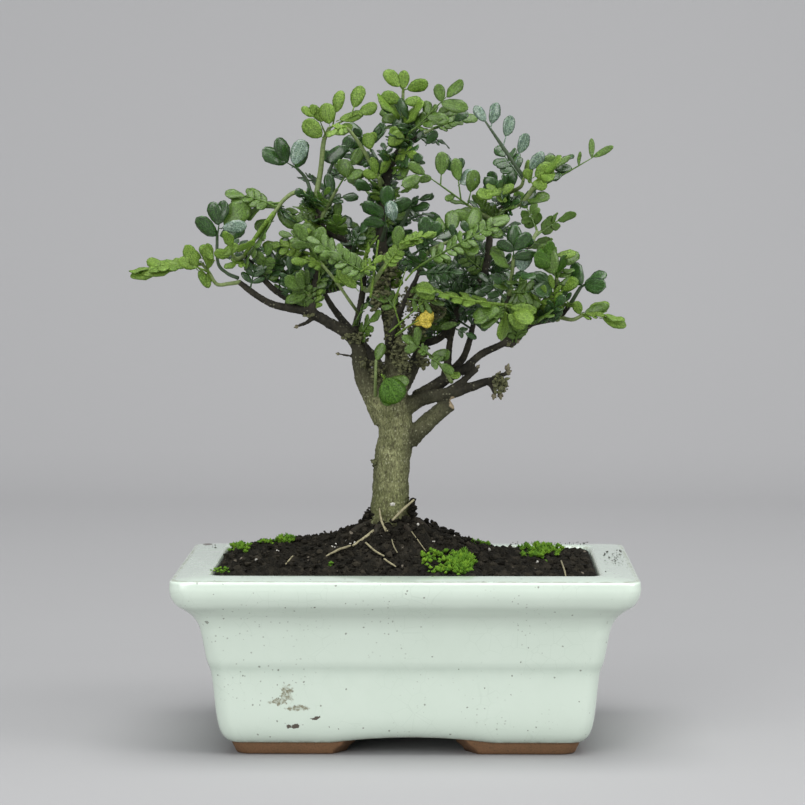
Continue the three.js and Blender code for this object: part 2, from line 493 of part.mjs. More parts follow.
// The piece of a cut solid that still holds most of it
function mainPiece(solid) {
  const pieces = solid.decompose().sort((a, b) => b.volume() - a.volume());
  return pieces[0];
}

// Skin over equal rings of points, closed by a flat fan at each end
function loft(rings) {
  const count = rings[0].length;
  const triangles = [];
  for (let k = 0; k + 1 < rings.length; k += 1) {
    for (let i = 0; i < count; i += 1) {
      const a = k * count + i;
      const b = k * count + (i + 1) % count;
      triangles.push([a, b, b + count], [a, b + count, a + count]);
    }
  }
  const last = (rings.length - 1) * count;
  for (let i = 1; i + 1 < count; i += 1) {
    triangles.push([0, i + 1, i], [last, last + i, last + i + 1]);
  }
  return solidOf(rings.flat(), triangles);
}

// Rectangle with round corners at height z, anticlockwise from above
function roundedRing(halfLength, halfDepth, corner, z) {
  const ring = [];
  for (const [sx, sy, start] of [[1, -1, -0.5], [1, 1, 0], [-1, 1, 0.5], [-1, -1, 1]]) {
    for (let i = 0; i <= CORNER_STEPS; i += 1) {
      const angle = (start + 0.5 * i / CORNER_STEPS) * Math.PI;
      ring.push(new THREE.Vector3(
        sx * (halfLength - corner) + corner * Math.cos(angle),
        sy * (halfDepth - corner) + corner * Math.sin(angle),
        z,
      ));
    }
  }
  return ring;
}

// Tube of changing radius along rows of [x, y, z, radius]; extra widens it all round and lengthens its ends
function taperedTube(rows, sides, extra = 0, shape = () => 1) {
  const centres = rows.map(place);
  const curve = new THREE.CatmullRomCurve3(centres, false, 'catmullrom', 0.5);
  const steps = rows.length - 1;
  const { tangents, normals, binormals } = curve.computeFrenetFrames(steps, false);
  const rings = [];
  for (let k = 0; k <= steps; k += 1) {
    const t = k / steps;
    const at = t * (rows.length - 1);
    const row = Math.min(Math.floor(at), rows.length - 2);
    const radius = THREE.MathUtils.lerp(rows[row][3], rows[row + 1][3], at - row) + extra;
    const centre = curve.getPoint(t);
    const tangent = curve.getTangent(t);
    if (k === 0) centre.addScaledVector(tangent, -extra);
    if (k === steps) centre.addScaledVector(tangent, extra);
    const frame = Math.min(k, tangents.length - 1);
    const across = normals[frame].clone().addScaledVector(tangent, -normals[frame].dot(tangent)).normalize();
    const beside = new THREE.Vector3().crossVectors(tangent, across);
    rings.push(Array.from({ length: sides }, (_, i) => {
      const angle = 2 * Math.PI * i / sides;
      const reach = radius * shape(angle, t);
      return centre.clone()
        .addScaledVector(across, reach * Math.cos(angle))
        .addScaledVector(beside, reach * Math.sin(angle));
    }));
  }
  return loft(rings);
}

// The frame of a leaf's blade: its length, and the directions along its rib, across it and up from its face
function leafFrame(base, tip, face) {
  const along = tip.clone().sub(base);
  const length = along.length();
  along.normalize();
  const up = new THREE.Vector3(...FACES[face]);
  up.addScaledVector(along, -up.dot(along));
  if (up.length() < 0.2) up.set(0, 0, 1).addScaledVector(along, -along.z);
  up.normalize();
  return { base, length, along, up, across: new THREE.Vector3().crossVectors(up, along) };
}

// A tip seen from the front at [x, z], as [along, across] in the leaf's own plane
function tipInLeaf([x, z], { base, along, across, up }) {
  const sight = new THREE.Vector3(x, 0, z).sub(EYE);
  const reach = base.clone().sub(EYE).dot(up) / sight.dot(up);
  const inLeaf = sight.multiplyScalar(reach).add(EYE).sub(base);
  return [inLeaf.dot(along), inLeaf.dot(across)];
}

// The rib's end and the side leaflets as { root, side, free, size, angle }, where free is the bare stalk
function leafletPlan(frame, sides, leaflet, bare) {
  const { length } = frame;
  const pairs = Array.isArray(sides) ? 0 : sides;
  const size = Math.min(leaflet, 0.95 * length / (1 + 0.45 * pairs));
  if (sides === 0) return { ribEnd: Math.max(0.2, Math.min(length * bare, length - size * 0.8)), leaflets: [] };
  const ribEnd = Math.max(length - size, 0.15 * length);
  if (pairs) {
    const stalk = Math.max(0, Math.min(length * bare, ribEnd - size * (0.3 + 0.4 * pairs)));
    const pitch = (ribEnd - 0.3 * size - stalk) / pairs;
    const grown = pairs > 1 ? Math.min(size, 1.9 * pitch) : size;
    const along = Array.from({ length: pairs }, (_, i) => stalk + pitch * (i + 0.6));
    const leaflets = along.flatMap((root) => [-1, 1].map((side) => (
      { root, side, free: 0, size: grown, angle: LEAFLET_SPREAD })));
    return { ribEnd, leaflets };
  }
  const leaflets = sides.map((tip) => {
    const [a, b] = tipInLeaf(tip, frame);
    const root = THREE.MathUtils.clamp(a - Math.abs(b) / Math.tan(LEAFLET_SPREAD), 0.9, ribEnd - 0.4);
    const reach = Math.hypot(a - root, b);
    const free = Math.max(0, reach - leaflet * LEAFLET_GROWTH);
    return { root, side: Math.sign(b), free, size: reach - free, angle: Math.atan2(Math.abs(b), a - root) };
  });
  return { ribEnd, leaflets };
}

// Outline of a pinnate leaf as [along, across] points, anticlockwise from the foot of its stalk
function outlineOf({ ribEnd, leaflets }, length, width) {
  const oval = (root, free, size, angle) => {
    const shape = size < SMALL_LEAFLET ? SMALL_POINTS : LEAFLET_POINTS;
    const points = shape.map(([a, b]) => [free + size * a, size * b * width]);
    const stalked = free > SHORT_STALK ? [[free, -PETIOLE_HALF], ...points, [free, PETIOLE_HALF]] : points;
    return stalked.map(([a, b]) => [
      root + a * Math.cos(angle) - b * Math.sin(angle),
      a * Math.sin(angle) + b * Math.cos(angle),
    ]);
  };
  const half = (side) => {
    const row = leaflets.filter((one) => one.side === side);
    row.sort((p, q) => p.root - q.root || q.angle - p.angle);
    return row.flatMap(({ root, free, size, angle }, i) => {
      const gap = i === 0 ? root : root - row[i - 1].root;
      const before = [root - Math.min(ROOT_SPACE, gap / 2), i === 0 ? PETIOLE_HALF : WING_HALF];
      const edge = [before, ...oval(root, free, size, angle).reverse()];
      const after = Math.min(root + 1, (root + ribEnd) / 2 + ROOT_SPACE);
      return i + 1 < row.length ? edge : [...edge, [after, PETIOLE_HALF]];
    });
  };
  return [
    [-STALK_SINK, -PETIOLE_HALF],
    ...half(-1).map(([a, b]) => [a, -b]),
    ...oval(ribEnd, 0, length - ribEnd, 0),
    ...half(1).reverse(),
    [-STALK_SINK, PETIOLE_HALF],
  ];
}

// Whether two edges of an outline cross
function crossesItself(outline) {
  const turn = (a, b, c) => (b[0] - a[0]) * (c[1] - a[1]) - (b[1] - a[1]) * (c[0] - a[0]);
  const count = outline.length;
  return outline.some((a, i) => outline.some((c, j) => {
    if (j < i + 2 || (i === 0 && j === count - 1)) return false;
    const b = outline[i + 1];
    const d = outline[(j + 1) % count];
    return turn(a, b, c) * turn(a, b, d) < 0 && turn(c, d, a) * turn(c, d, b) < 0;
  }));
}

// Leaflets that would run into each other grow narrower until they stand apart
function leafOutline(plan, length) {
  const widths = [1, 0.9, 0.8, 0.7, 0.6, 0.5, 0.4];
  const clear = widths.find((width) => !crossesItself(outlineOf(plan, length, width)));
  return outlineOf(plan, length, clear ?? 1);
}

// A leaf as one thin arched blade cut to its outline, with both faces split alike
function leafBlade(base, tip, sides, leaflet, bare, arch, face) {
  const frame = leafFrame(base, tip, face);
  const { length, along, across, up } = frame;
  const plan = leafletPlan(frame, sides, leaflet, bare);
  const outline = leafOutline(plan, length).map(([a, b]) => new THREE.Vector2(a, b));
  const faces = THREE.ShapeUtils.triangulateShape(outline, []);
  const sheet = (lift) => outline.map(({ x: a, y: b }) => {
    const t = THREE.MathUtils.clamp(a / length, 0, 1);
    const rise = arch * 4 * t * (1 - t) + LEAFLET_CUP * Math.abs(b) + lift;
    return base.clone().addScaledVector(along, a).addScaledVector(across, b).addScaledVector(up, rise);
  });
  const count = outline.length;
  const triangles = faces.flatMap(([a, b, c]) => [[a, b, c], [c + count, b + count, a + count]]);
  for (let i = 0; i < count; i += 1) {
    const next = (i + 1) % count;
    triangles.push([i, i + count, next + count], [i, next + count, next]);
  }
  return solidOf([...sheet(BLADE_THICK / 2), ...sheet(-BLADE_THICK / 2)], triangles);
}

// A stem with its leaves, each leaf starting at its own share of the stem
function sprayOf({ stem, thick, leaves }) {
  const radius = (i) => THREE.MathUtils.lerp(thick[0], thick[1], i / (stem.length - 1));
  const rows = stem.map((point, i) => [...point, radius(i)]);
  const curve = new THREE.CatmullRomCurve3(stem.map(place), false, 'catmullrom', 0.5);
  const blades = leaves.map(([at, x, y, z, sides, leaflet, bare, arch, face]) => (
    leafBlade(curve.getPoint(at), place([x, y, z]), sides, leaflet, bare, arch, face)));
  return join([taperedTube(rows, STEM_SIDES), ...blades]);
}

// Trunk, limbs and surface roots as one piece of wood; extra widens it for the clearance of what meets it
function woodOf(extra) {
  const flutes = (angle, t) => 1 + 0.06 * Math.cos(3 * angle + 5 * t) + 0.035 * Math.cos(5 * angle - 9 * t);
  const tubes = [taperedTube(TRUNK, TRUNK_SIDES, extra, flutes)];
  for (const rows of LIMBS) {
    tubes.push(taperedTube(rows, rows[0][3] > TWIG_RADIUS ? LIMB_SIDES : TWIG_SIDES, extra));
  }
  for (const [direction, reach, radius] of SURFACE_ROOTS) {
    const angle = THREE.MathUtils.degToRad(direction);
    const rows = [0.3, 0.55, 0.8, 1].map((t) => {
      const x = TRUNK[2][0] + reach * t * Math.cos(angle);
      const y = reach * t * Math.sin(angle);
      const sink = t < 1 ? 0.3 * radius : -1.2 * radius;
      return [x, y, soilHeight(x, y) + sink, radius * (1.15 - 0.65 * t)];
    });
    tubes.push(taperedTube(rows, TWIG_SIDES, extra));
  }
  return join(tubes);
}

// Height of the soil: a mound round the trunk with a ridge to its left, even at the pot's edge, with low clods
function soilHeight(x, y) {
  const bell = (off, spread) => Math.exp(-(off ** 2) / (2 * spread ** 2));
  const bump = ([cx, cy], [sx, sy]) => bell(x - cx, sx) * bell(y - cy, sy);
  const toEdge = Math.min(
    (OPENING_HALF_LENGTH - Math.abs(x)) / EDGE_FADE,
    (OPENING_HALF_DEPTH - Math.abs(y)) / EDGE_FADE,
    1,
  );
  const fade = Math.max(toEdge, 0) ** 0.5;
  const clods = Math.sin(0.71 * x + 1.3) * Math.cos(0.63 * y) + Math.sin(0.43 * x - 0.57 * y);
  const mound = MOUND_HEIGHT * bump(MOUND_CENTRE, MOUND_SPREAD);
  const ridge = RIDGE_HEIGHT * bump(RIDGE_CENTRE, RIDGE_SPREAD);
  return SOIL_EDGE_Z + fade * (mound + ridge + CLOD_RELIEF * 0.5 * clods);
}

// Soil: rings that shrink from the pot's wall to the middle, over a skirt that follows the wall down
function soilOf() {
  const topLength = OPENING_HALF_LENGTH - SEAT;
  const topDepth = OPENING_HALF_DEPTH - SEAT;
  const rings = [
    roundedRing(FLOOR_HALF_LENGTH - SEAT, FLOOR_HALF_DEPTH - SEAT, OPENING_CORNER, FLOOR_TOP + SEAT),
  ];
  for (let k = SOIL_RINGS; k > 0; k -= 1) {
    const share = k / SOIL_RINGS;
    const ring = roundedRing(topLength, topDepth, OPENING_CORNER, SOIL_EDGE_Z);
    rings.push(ring.map(({ x, y }) => {
      const at = new THREE.Vector3(x * share, y * share, SOIL_EDGE_Z);
      if (k < SOIL_RINGS) at.z = soilHeight(at.x, at.y);
      return at;
    }));
  }
  return loft(rings);
}

// An upright block between two heights
function block(width, depth, low, high, x = 0, y = 0) {
  const hw = width / 2;
  const hd = depth / 2;
  const corners = [[-hw, -hd], [hw, -hd], [hw, hd], [-hw, hd]];
  const ring = (z) => corners.map(([a, b]) => new THREE.Vector3(x + a, y + b, z));
  return loft([ring(low), ring(high)]);
}

// An upright round plug between two heights
function upright(radius, low, high, x) {
  const ring = (z) => Array.from({ length: DRAIN_SIDES }, (_, i) => {
    const angle = 2 * Math.PI * i / DRAIN_SIDES;
    return new THREE.Vector3(x + radius * Math.cos(angle), radius * Math.sin(angle), z);
  });
  return loft([ring(low), ring(high)]);
}

// The gap between two feet: a cloud shaped tunnel right through the pot's foot
function footGap(width, length, alongX) {
  const side = FOOT_GAP_SIDE.map(([inward, z]) => [width / 2 - inward, z]);
  const outline = [...side, ...side.map(([a, z]) => [-a, z]).reverse()];
  const ring = (end) => outline.map(([a, z]) => (
    alongX ? new THREE.Vector3(end, a, z) : new THREE.Vector3(-a, end, z)));
  return loft([ring(-length / 2), ring(length / 2)]);
}

function potOf() {
  const inset = (RIM_LENGTH - RIM_DEPTH) / 2;
  const outside = loft(POT_OUTLINE.map(([z, half]) => (
    roundedRing(half, half - inset, RIM_CORNER - CORNER_SHRINK * (RIM_LENGTH / 2 - half), z))));
  const inside = loft([
    roundedRing(FLOOR_HALF_LENGTH, FLOOR_HALF_DEPTH, OPENING_CORNER, FLOOR_TOP),
    roundedRing(OPENING_HALF_LENGTH, OPENING_HALF_DEPTH, OPENING_CORNER, SOIL_EDGE_Z),
    roundedRing(OPENING_HALF_LENGTH + RIM_FLARE, OPENING_HALF_DEPTH + RIM_FLARE, OPENING_CORNER, POT_TOP + 0.5),
  ]);
  const recess = loft([
    roundedRing(RECESS_HALF_LENGTH, RECESS_HALF_DEPTH, OPENING_CORNER, POT_BASE - 1),
    roundedRing(RECESS_HALF_LENGTH, RECESS_HALF_DEPTH, OPENING_CORNER, RECESS_TOP),
  ]);
  return outside
    .subtract(inside)
    .subtract(recess)
    .subtract(footGap(FRONT_FOOT_GAP, RIM_DEPTH, false))
    .subtract(footGap(SIDE_FOOT_GAP, RIM_LENGTH, true))
    .subtract(upright(DRAIN_RADIUS, POT_BASE, FLOOR_TOP + 1, DRAIN_X))
    .subtract(upright(DRAIN_RADIUS, POT_BASE, FLOOR_TOP + 1, -DRAIN_X));
}

// Plastic mesh over a drain hole
function screenOf(x) {
  const low = FLOOR_TOP + SEAT;
  const pitch = (SCREEN_SIZE - SCREEN_BAR) / SCREEN_CELLS;
  let screen = block(SCREEN_SIZE, SCREEN_SIZE, low, low + SCREEN_THICK, x);
  for (let i = 0; i < SCREEN_CELLS; i += 1) {
    for (let j = 0; j < SCREEN_CELLS; j += 1) {
      const at = (n) => (n - (SCREEN_CELLS - 1) / 2) * pitch;
      const hole = block(pitch - SCREEN_BAR, pitch - SCREEN_BAR, low - 1, low + 3, x + at(i), at(j));
      screen = screen.subtract(hole);
    }
  }
  return screen;
}

const bonsai = new THREE.Group();
const wood = woodOf(0);
const woodRoom = woodOf(GAP);
bonsai.add(meshOf('pot', potOf(), 0xcddccf, 0.2));
let soil = soilOf().subtract(woodRoom);
for (const [name, x] of [['drain_screen_left', -DRAIN_X], ['drain_screen_right', DRAIN_X]]) {
  bonsai.add(meshOf(name, screenOf(x), 0x202422, 0.6));
  const room = SCREEN_SIZE + 2 * GAP;
  soil = soil.subtract(block(room, room, FLOOR_TOP, FLOOR_TOP + SEAT + SCREEN_THICK + GAP, x));
}
bonsai.add(meshOf('soil', mainPiece(soil), 0x2b211b, 1));
bonsai.add(meshOf('tree_wood', wood, 0x5b5a44, 0.85));
for (const spray of SPRAYS) {
  const solid = sprayOf(spray).subtract(woodRoom);
  bonsai.add(meshOf(spray.name, mainPiece(solid), TONES[spray.tone], 0.45));
}

// Stand the whole on the origin, in the middle of its box
const middle = new THREE.Box3().setFromObject(bonsai).getCenter(new THREE.Vector3());
bonsai.position.set(-middle.x, -middle.y, -POT_BASE);

export default bonsai;
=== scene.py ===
"""A Chinese pepper bonsai in a glazed oblong pot, laid out as an add-on and run as a script.

Shapes are worked out in millimetres with the pot's middle at x = 0, y = 0 and its feet at z = POT_BASE, and are
moved into the frame, in metres, when their mesh is made.
"""

import math

import bpy
import numpy as np
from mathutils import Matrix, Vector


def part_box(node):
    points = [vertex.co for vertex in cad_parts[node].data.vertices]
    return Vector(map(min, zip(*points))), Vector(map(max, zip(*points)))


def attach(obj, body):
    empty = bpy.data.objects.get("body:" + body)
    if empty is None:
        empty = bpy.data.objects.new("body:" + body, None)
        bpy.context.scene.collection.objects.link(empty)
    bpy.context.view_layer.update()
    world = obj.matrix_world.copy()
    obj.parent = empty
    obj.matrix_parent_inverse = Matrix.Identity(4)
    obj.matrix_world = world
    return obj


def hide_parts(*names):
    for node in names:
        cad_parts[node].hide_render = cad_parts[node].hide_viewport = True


bl_info = {
    "name": "Potted pepper bonsai",
    "version": (1, 0, 0),
    "blender": (4, 5, 0),
    "location": "3D View > Sidebar > Bonsai",
    "description": "Builds a small potted tree with its glazed pot, soil, moss, bark and leaves",
    "category": "Object",
}

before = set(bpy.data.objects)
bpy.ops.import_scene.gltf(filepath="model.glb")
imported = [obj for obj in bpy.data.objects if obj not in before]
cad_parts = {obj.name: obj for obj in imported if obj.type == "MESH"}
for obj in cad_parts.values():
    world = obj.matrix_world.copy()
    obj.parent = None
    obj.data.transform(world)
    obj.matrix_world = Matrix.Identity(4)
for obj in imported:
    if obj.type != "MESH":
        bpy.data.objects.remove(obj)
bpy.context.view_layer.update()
pot_low, pot_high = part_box("pot")
POT_BASE = -1.5
POT_MIDDLE = np.array([(pot_low[0] + pot_high[0]) * 500, (pot_low[1] + pot_high[1]) * 500, -POT_BASE])

# The eye point that the tree's front is composed from, in millimetres
EYE = np.array([30.0, -1461.0, 244.5])

# Outline of the pot's outside: height, half length, and how much glaze pools there
POT_OUTLINE = [
    (4.2, 78.6, 0.2), (5, 80.3, 0.35), (8.5, 82.8, 0.1), (16, 84.6, 0), (31, 86.2, 0.05), (35.5, 86.75, 0.3),
    (38, 87.3, 0.6), (40.4, 88.2, 0.35), (43.5, 89, 0), (53, 90.7, 0), (58, 91.9, 0.1), (62, 94.2, 0.05),
    (65, 97.3, 0), (68, 101.1, 0), (71.5, 103.2, 0), (75, 104, 0), (78.4, 103.9, 0),
]
# Where the glaze is worn: middle and width of the band on the rim's outer edge and on the lower edge, by height,
# and on the mouth's edge, by half length
RIM_WEAR = (79.5, 0.16)
LOWER_WEAR = (4.6, 0.8)
MOUTH_WEAR = (86.8, 0.6)
RIM_INSET = 26.5
OUTSIDE_CORNER = 8
CORNER_SHRINK = 0.06
FLARE_HALF = 104
# From the rim's outer edge over its flat top to the inside wall and floor: half length, half depth, corner,
# height, pool
RIM_AND_INSIDE = [
    (103.6, 77.1, 7.6, 79.1, 0.2), (103, 76.5, 7.3, 79.4, 1), (101.4, 74.9, 7, 79.65, 1), (98, 71.4, 6.6, 80, 1),
    (93, 66.2, 6.2, 80.35, 1), (89, 62, 7, 80.45, 1), (87.6, 60.6, 8, 80.2, 0.7), (86.7, 59.7, 8, 79.6, 0.2),
    (86.1, 59.1, 8, 78, 0.5), (84, 57, 8, 70, 0), (76, 50, 8, 20, 0), (75, 49, 8, 14.4, 0),
]
# The underside between the feet: half length, half depth, corner, height, pool
RECESS = (70, 43.5, 5, 6.5, 0)
# The arch between the feet: its height, half its length, its middle and the height at which it has faded away
ARCH_RISE = 2.4
ARCH_HALF = 36
ARCH_MIDDLE = 3
ARCH_TOP = 16
# Flaws and chips of the glaze as seen from the front: middle x and z, half width and half height
FLAWS = [(-56.2, 18.4, 4.4, 6), (-60.8, 14.4, 5.6, 2.4), (-51.4, 12, 7.4, 2.4)]
CHIPS = [
    (-52.6, 3, 5.6, 1.6), (-43.4, 6.6, 2.9, 1.4), (-91.7, 87.2, 3, 0.7), (-95, 77, 0.9, 1.2), (-81, 74.6, 1.1, 1.3),
    (-44.6, 58.6, 1.8, 0.6), (89.6, 63.4, 1, 1.1),
]
# Feet: half length at rising heights and how much it grows; the cloud shaped edge where a foot ends, as its height
# at places along the long and the short side
FOOT_HEIGHTS = (POT_BASE, 1.5, 4, 6.6)
FOOT_HALVES = (76.2, 77.2, 78.4, 78.6)
FOOT_GROWTH = 2.4
# Half length, half depth and corner of the feet's outline at the bottom, at the top and inside
FOOT_OUTLINES = [(76.2, 49.7, 6.3), (78.6, 52.1, 6.5), (64, 39, 8)]
FOOT_FINENESS = dict(arc=12, long_side=90, short_side=70)
CLOUD_HEIGHTS = (6.3, 5.2, 2.8, 0.6, POT_BASE)
CLOUD_LONG = (23, 26.5, 28, 31.5, 32.5)
CLOUD_SHORT = (12.5, 16, 17.5, 21, 22)
# The section of a foot, up its outer face and down its inner face: share of its height, tuck inward, inward ledge
FOOT_SHARE = np.array([1, 0.85, 0.6, 0.3, 0.1, 0.02, 0, 0, 0.05, 0.3, 1])
FOOT_TUCK = np.array([0.1, 0, 0, 0, 0.1, 0.5, 1.3, 0, 0, 0, 0])
FOOT_LEDGE = np.array([0, 0, 0, 0, 0, 0, 0, 1, 0.2, 0, 0])
FOOT_OUTER_POINTS = 7
DRAIN_X = 38
DRAIN_RADIUS = 8
DRILL_SIDES = 32
DRILL_ENDS = (1.0, 18.0)

# Soil, as in the CAD source
OPENING = (86, 59)
SOIL_EDGE_Z = 79
MOUND = (19, (-2, 2), (24, 31))
RIDGE = (7.5, (-57, 6), (24, 30))
CLOD_RELIEF = 1.1
# The soil's surface: half length and half depth, rings, their fineness, and height, scale and seed of its crumbs
SOIL_TOP = (85.65, 58.65)
SOIL_RINGS = 74
SOIL_FINENESS = dict(arc=16, long_side=150, short_side=104)
SOIL_CRUMBS = [(1.1, 0.34, 3), (1.05, 0.8, 5), (0.6, 1.5, 7)]
# Half length, half depth and height of the soil's skirt inside the pot
SOIL_SKIRT = [(74.6, 48.6, 14.5), (84.5, 57.6, 72)]

LEAFLET_SPREAD = math.radians(56)
LEAFLET_GROWTH = 1.15
LEAFLET_CUP = 0.14
# A leaflet's blade: places along it, half widths there and places across it
LEAFLET_ALONG = np.array([0.0, 0.08, 0.26, 0.5, 0.74, 0.92, 1.0])
LEAFLET_HALF = np.array([0.06, 0.42, 0.8, 1.0, 0.96, 0.62, 0.16])
LEAFLET_ACROSS = np.array([-1.0, -0.5, 0.0, 0.5, 1.0])
FACES = {
    "up": (0, -0.6, 0.8), "half": (0, -0.75, 0.65), "front": (0, -1, 0.2), "left": (-0.9, -0.3, 0.35),
    "right": (0.9, -0.3, 0.35), "back": (0, 0.75, 0.65), "flat": (0, -0.3, 0.95),
}

# Trunk and limbs: x and z as seen from the front, y as depth, and the radius
TRUNK = [
  [-8, 0, 62, 9], [-8, 0, 84, 10], [-8, 0, 94, 11], [-7.8, 0, 100, 9.8], [-7.6, 0, 108, 8.9],
  [-7.4, 0, 118, 8.2], [-6.8, 0, 127, 8.4], [-5.2, 0, 136, 8.3], [-5.4, 0, 143, 7.9], [-6.6, 0, 150, 8.8],
  [-7, 1, 157, 8], [-6, 1, 166, 5.6], [-5.5, 1, 177, 4.4], [-8.5, 2, 194, 3.3],
]
# The trunk's middle in the frame, in metres
TRUNK_X = (POT_MIDDLE[0] - 7.6) / 1000
LIMBS = [
  # the leader
  [[-7, 1, 186, 3.6], [-9.5, 2, 200, 3], [-10.5, 3, 216, 2.6], [-11.5, 2, 233, 2.4], [-11, 1, 248, 2.4],
    [-9, 0, 259, 2.3], [-4.5, -2, 267.5, 1.9], [0, -3, 272, 1.6], [4, -4, 275.5, 1]],
  # the long left limb and its two twigs
  [[-9, 0, 146, 7], [-14.5, 0, 156, 5.8], [-19.5, -1, 165, 4.6], [-21.4, -1, 173, 3.8], [-23, -2, 180, 3.2],
    [-28, -2, 185.5, 2.9], [-35, -3, 189.6, 2.6], [-46, -4, 195.4, 2.4], [-53, -4, 196.6, 1.9],
    [-61, -5, 198.3, 1.7], [-67, -5, 201.2, 1.5], [-72.5, -4, 205, 1.5], [-77.5, -4, 209, 1.2]],
  [[-45, -4, 195.4, 2.2], [-52, -2, 199.6, 1.7], [-57, -1, 202.4, 1.5], [-62.5, -1, 206.5, 1.4],
    [-68, -1, 212.4, 1.2], [-71.6, -2, 217, 1.3], [-74.6, -2, 221, 1]],
  # the upright twig on the left limb, with its side twig
  [[-44, -4, 195, 2.4], [-43.4, -3, 203, 1.9], [-42, -1, 212, 1.6], [-41.6, 0, 218, 1.2]],
  [[-42.6, -2, 204.4, 1], [-36, 2, 204.4, 0.9], [-31, 5, 205.4, 0.7]],
  # stubs on the left limb
  [[-43, -4, 192.5, 1.2], [-46.5, -6, 190, 0.9], [-50, -7, 188.7, 0.8]],
  [[-22, -1, 174.5, 0.8], [-27, -2, 174.9, 0.6], [-31, -2, 175.6, 0.5]],
  # the second stem
  [[-22.8, -1, 179, 2.6], [-23.8, 1, 186, 1.9], [-22, 3, 195, 1.7], [-20.4, 3, 204, 1.5], [-19.6, 2, 214, 1.2]],
  # the upper left branch, cut at its end
  [[-19.8, 3, 211, 1.3], [-24, 6, 221, 1.6], [-29.5, 6, 228.5, 1.8], [-36, 4, 231.4, 1.8],
    [-39.6, 2, 234.6, 1.8], [-41.2, 1, 240, 1.7], [-43.4, 1, 247, 1.3]],
  # the blunt stub low on the right
  [[1, -1, 136, 4.5], [7, -3, 142, 4.2], [13, -4, 147.4, 4], [20, -5, 152.6, 3.2]],
  # the right limb that ends in buds
  [[-2, -1, 151, 5], [5, -3, 154.2, 3.6], [12, -5, 156.4, 3], [21, -6, 158, 2.9], [30, -7, 160.8, 2.2],
    [37, -8, 163.2, 1.8], [41.5, -8, 163.6, 1.6]],
  [[19, -6, 158.6, 2], [26, -5, 163.6, 1.5], [32, -4, 169, 1.5]],
  [[40, -8, 163.6, 1.4], [43, -9, 161, 1.5], [42.6, -9, 158, 0.8]],
  [[38, -8, 163.2, 1.2], [41.6, -7, 165.6, 1], [45.4, -8, 166.6, 1], [45.8, -8, 168, 0.6]],
  [[36.6, -8, 163.2, 1], [38.8, -10, 160.4, 0.8], [40, -11, 157.6, 0.6]],
  # the long right limb
  [[4, 2, 155.5, 3.2], [13, 1, 161, 2.8], [21, -2, 166, 2.4], [27, -3, 169.4, 2], [34, -5, 175.6, 1.8],
    [43, -7, 180, 1.6], [51, -8, 185, 1.8], [56.6, -9, 189.4, 1.5], [62, -9, 190.8, 1.3],
    [69.4, -8, 192.6, 1.3], [74, -9, 197.4, 1.1], [76, -10, 200.6, 0.8]],
  [[44.6, -7, 180.4, 1.3], [47.6, -8, 180.2, 1.4], [50, -8, 181, 1.1]],
  [[56, -9, 189.2, 1], [58.6, -9, 192.4, 0.7]],
  # the black branch and the grey branch behind it, up to the right hand crown
  [[-3, 3, 178, 2.6], [5, 5, 180.2, 2], [11, 6, 181.2, 1.8], [16.6, 6, 184.2, 1.7], [20.4, 6, 190, 1.5],
    [23.6, 5, 196.6, 1.6]],
  [[17, 0, 163.6, 2.2], [18.8, 4, 172, 1.7], [19.6, 6, 180, 1.5], [21.2, 6, 188, 1.5], [24, 5, 197, 1.7],
    [30, 3, 204.4, 1.7], [35, 1, 212, 1.6], [37.4, 0, 222, 1.7], [38.2, -1, 231.6, 1.6],
    [41.4, -2, 238.4, 1.5], [44.8, -2, 244.6, 1.5], [46, -3, 250.6, 1]],
  # the dark branch inside the right hand crown
  [[21, 1, 168, 1.9], [26, 6, 174, 1.7], [28.6, 11, 181, 1.5], [31, 16, 190, 1.2], [36, 21, 199, 1]],
  # twig carrying the low right sprays
  [[45, -7, 180.6, 1.3], [43.4, -10, 188, 1], [44.6, -12, 196, 1], [47.2, -14, 204, 0.9]],
  # limbs toward the front and the back, which round the crown out
  [[-8, -3, 176, 3], [-7, -9, 185, 1.9], [-3, -13, 196, 1.5], [4, -15, 210, 1.1], [6, -15, 216, 0.9]],
  [[-6, 5, 156, 4.4], [-13, 17, 170, 3], [-23, 29, 183, 2.2], [-34, 40, 197, 1.5], [-40, 46, 208, 1]],
  [[-3, 5, 160, 4.2], [6, 19, 176, 2.8], [12, 32, 191, 2.1], [17, 44, 206, 1.5], [22, 50, 217, 1]],
  [[-9, 4, 200, 2.4], [-11, 15, 213, 1.8], [-13, 25, 228, 1.5], [-16, 31, 243, 1]],
  [[32, 4, 206, 1.5], [40, 13, 211, 1.3], [50, 22, 219, 1.1], [57, 28, 226, 0.8]],
]
MOST_WOOD_FACES = 95000
# Cut ends of the blunt stub and of the upper left branch as seen from the front: middle x and z, half width and
# half height
CUT_ENDS = [(21, 153.4, 1.8, 3.4), (-43.4, 248.3, 2, 1.4)]
# How high above the soil the bark is soiled
SOILED_HEIGHT = 7
# Surface roots: places along one, the way they run in degrees, how far, and their radius
ROOT_PLACES = np.array([0.3, 0.55, 0.8, 1])
SURFACE_ROOTS = [[205, 23, 2.6], [248, 19, 2.2], [300, 22, 2.4], [345, 20, 2.8], [70, 22, 2.6], [130, 24, 2.8]]

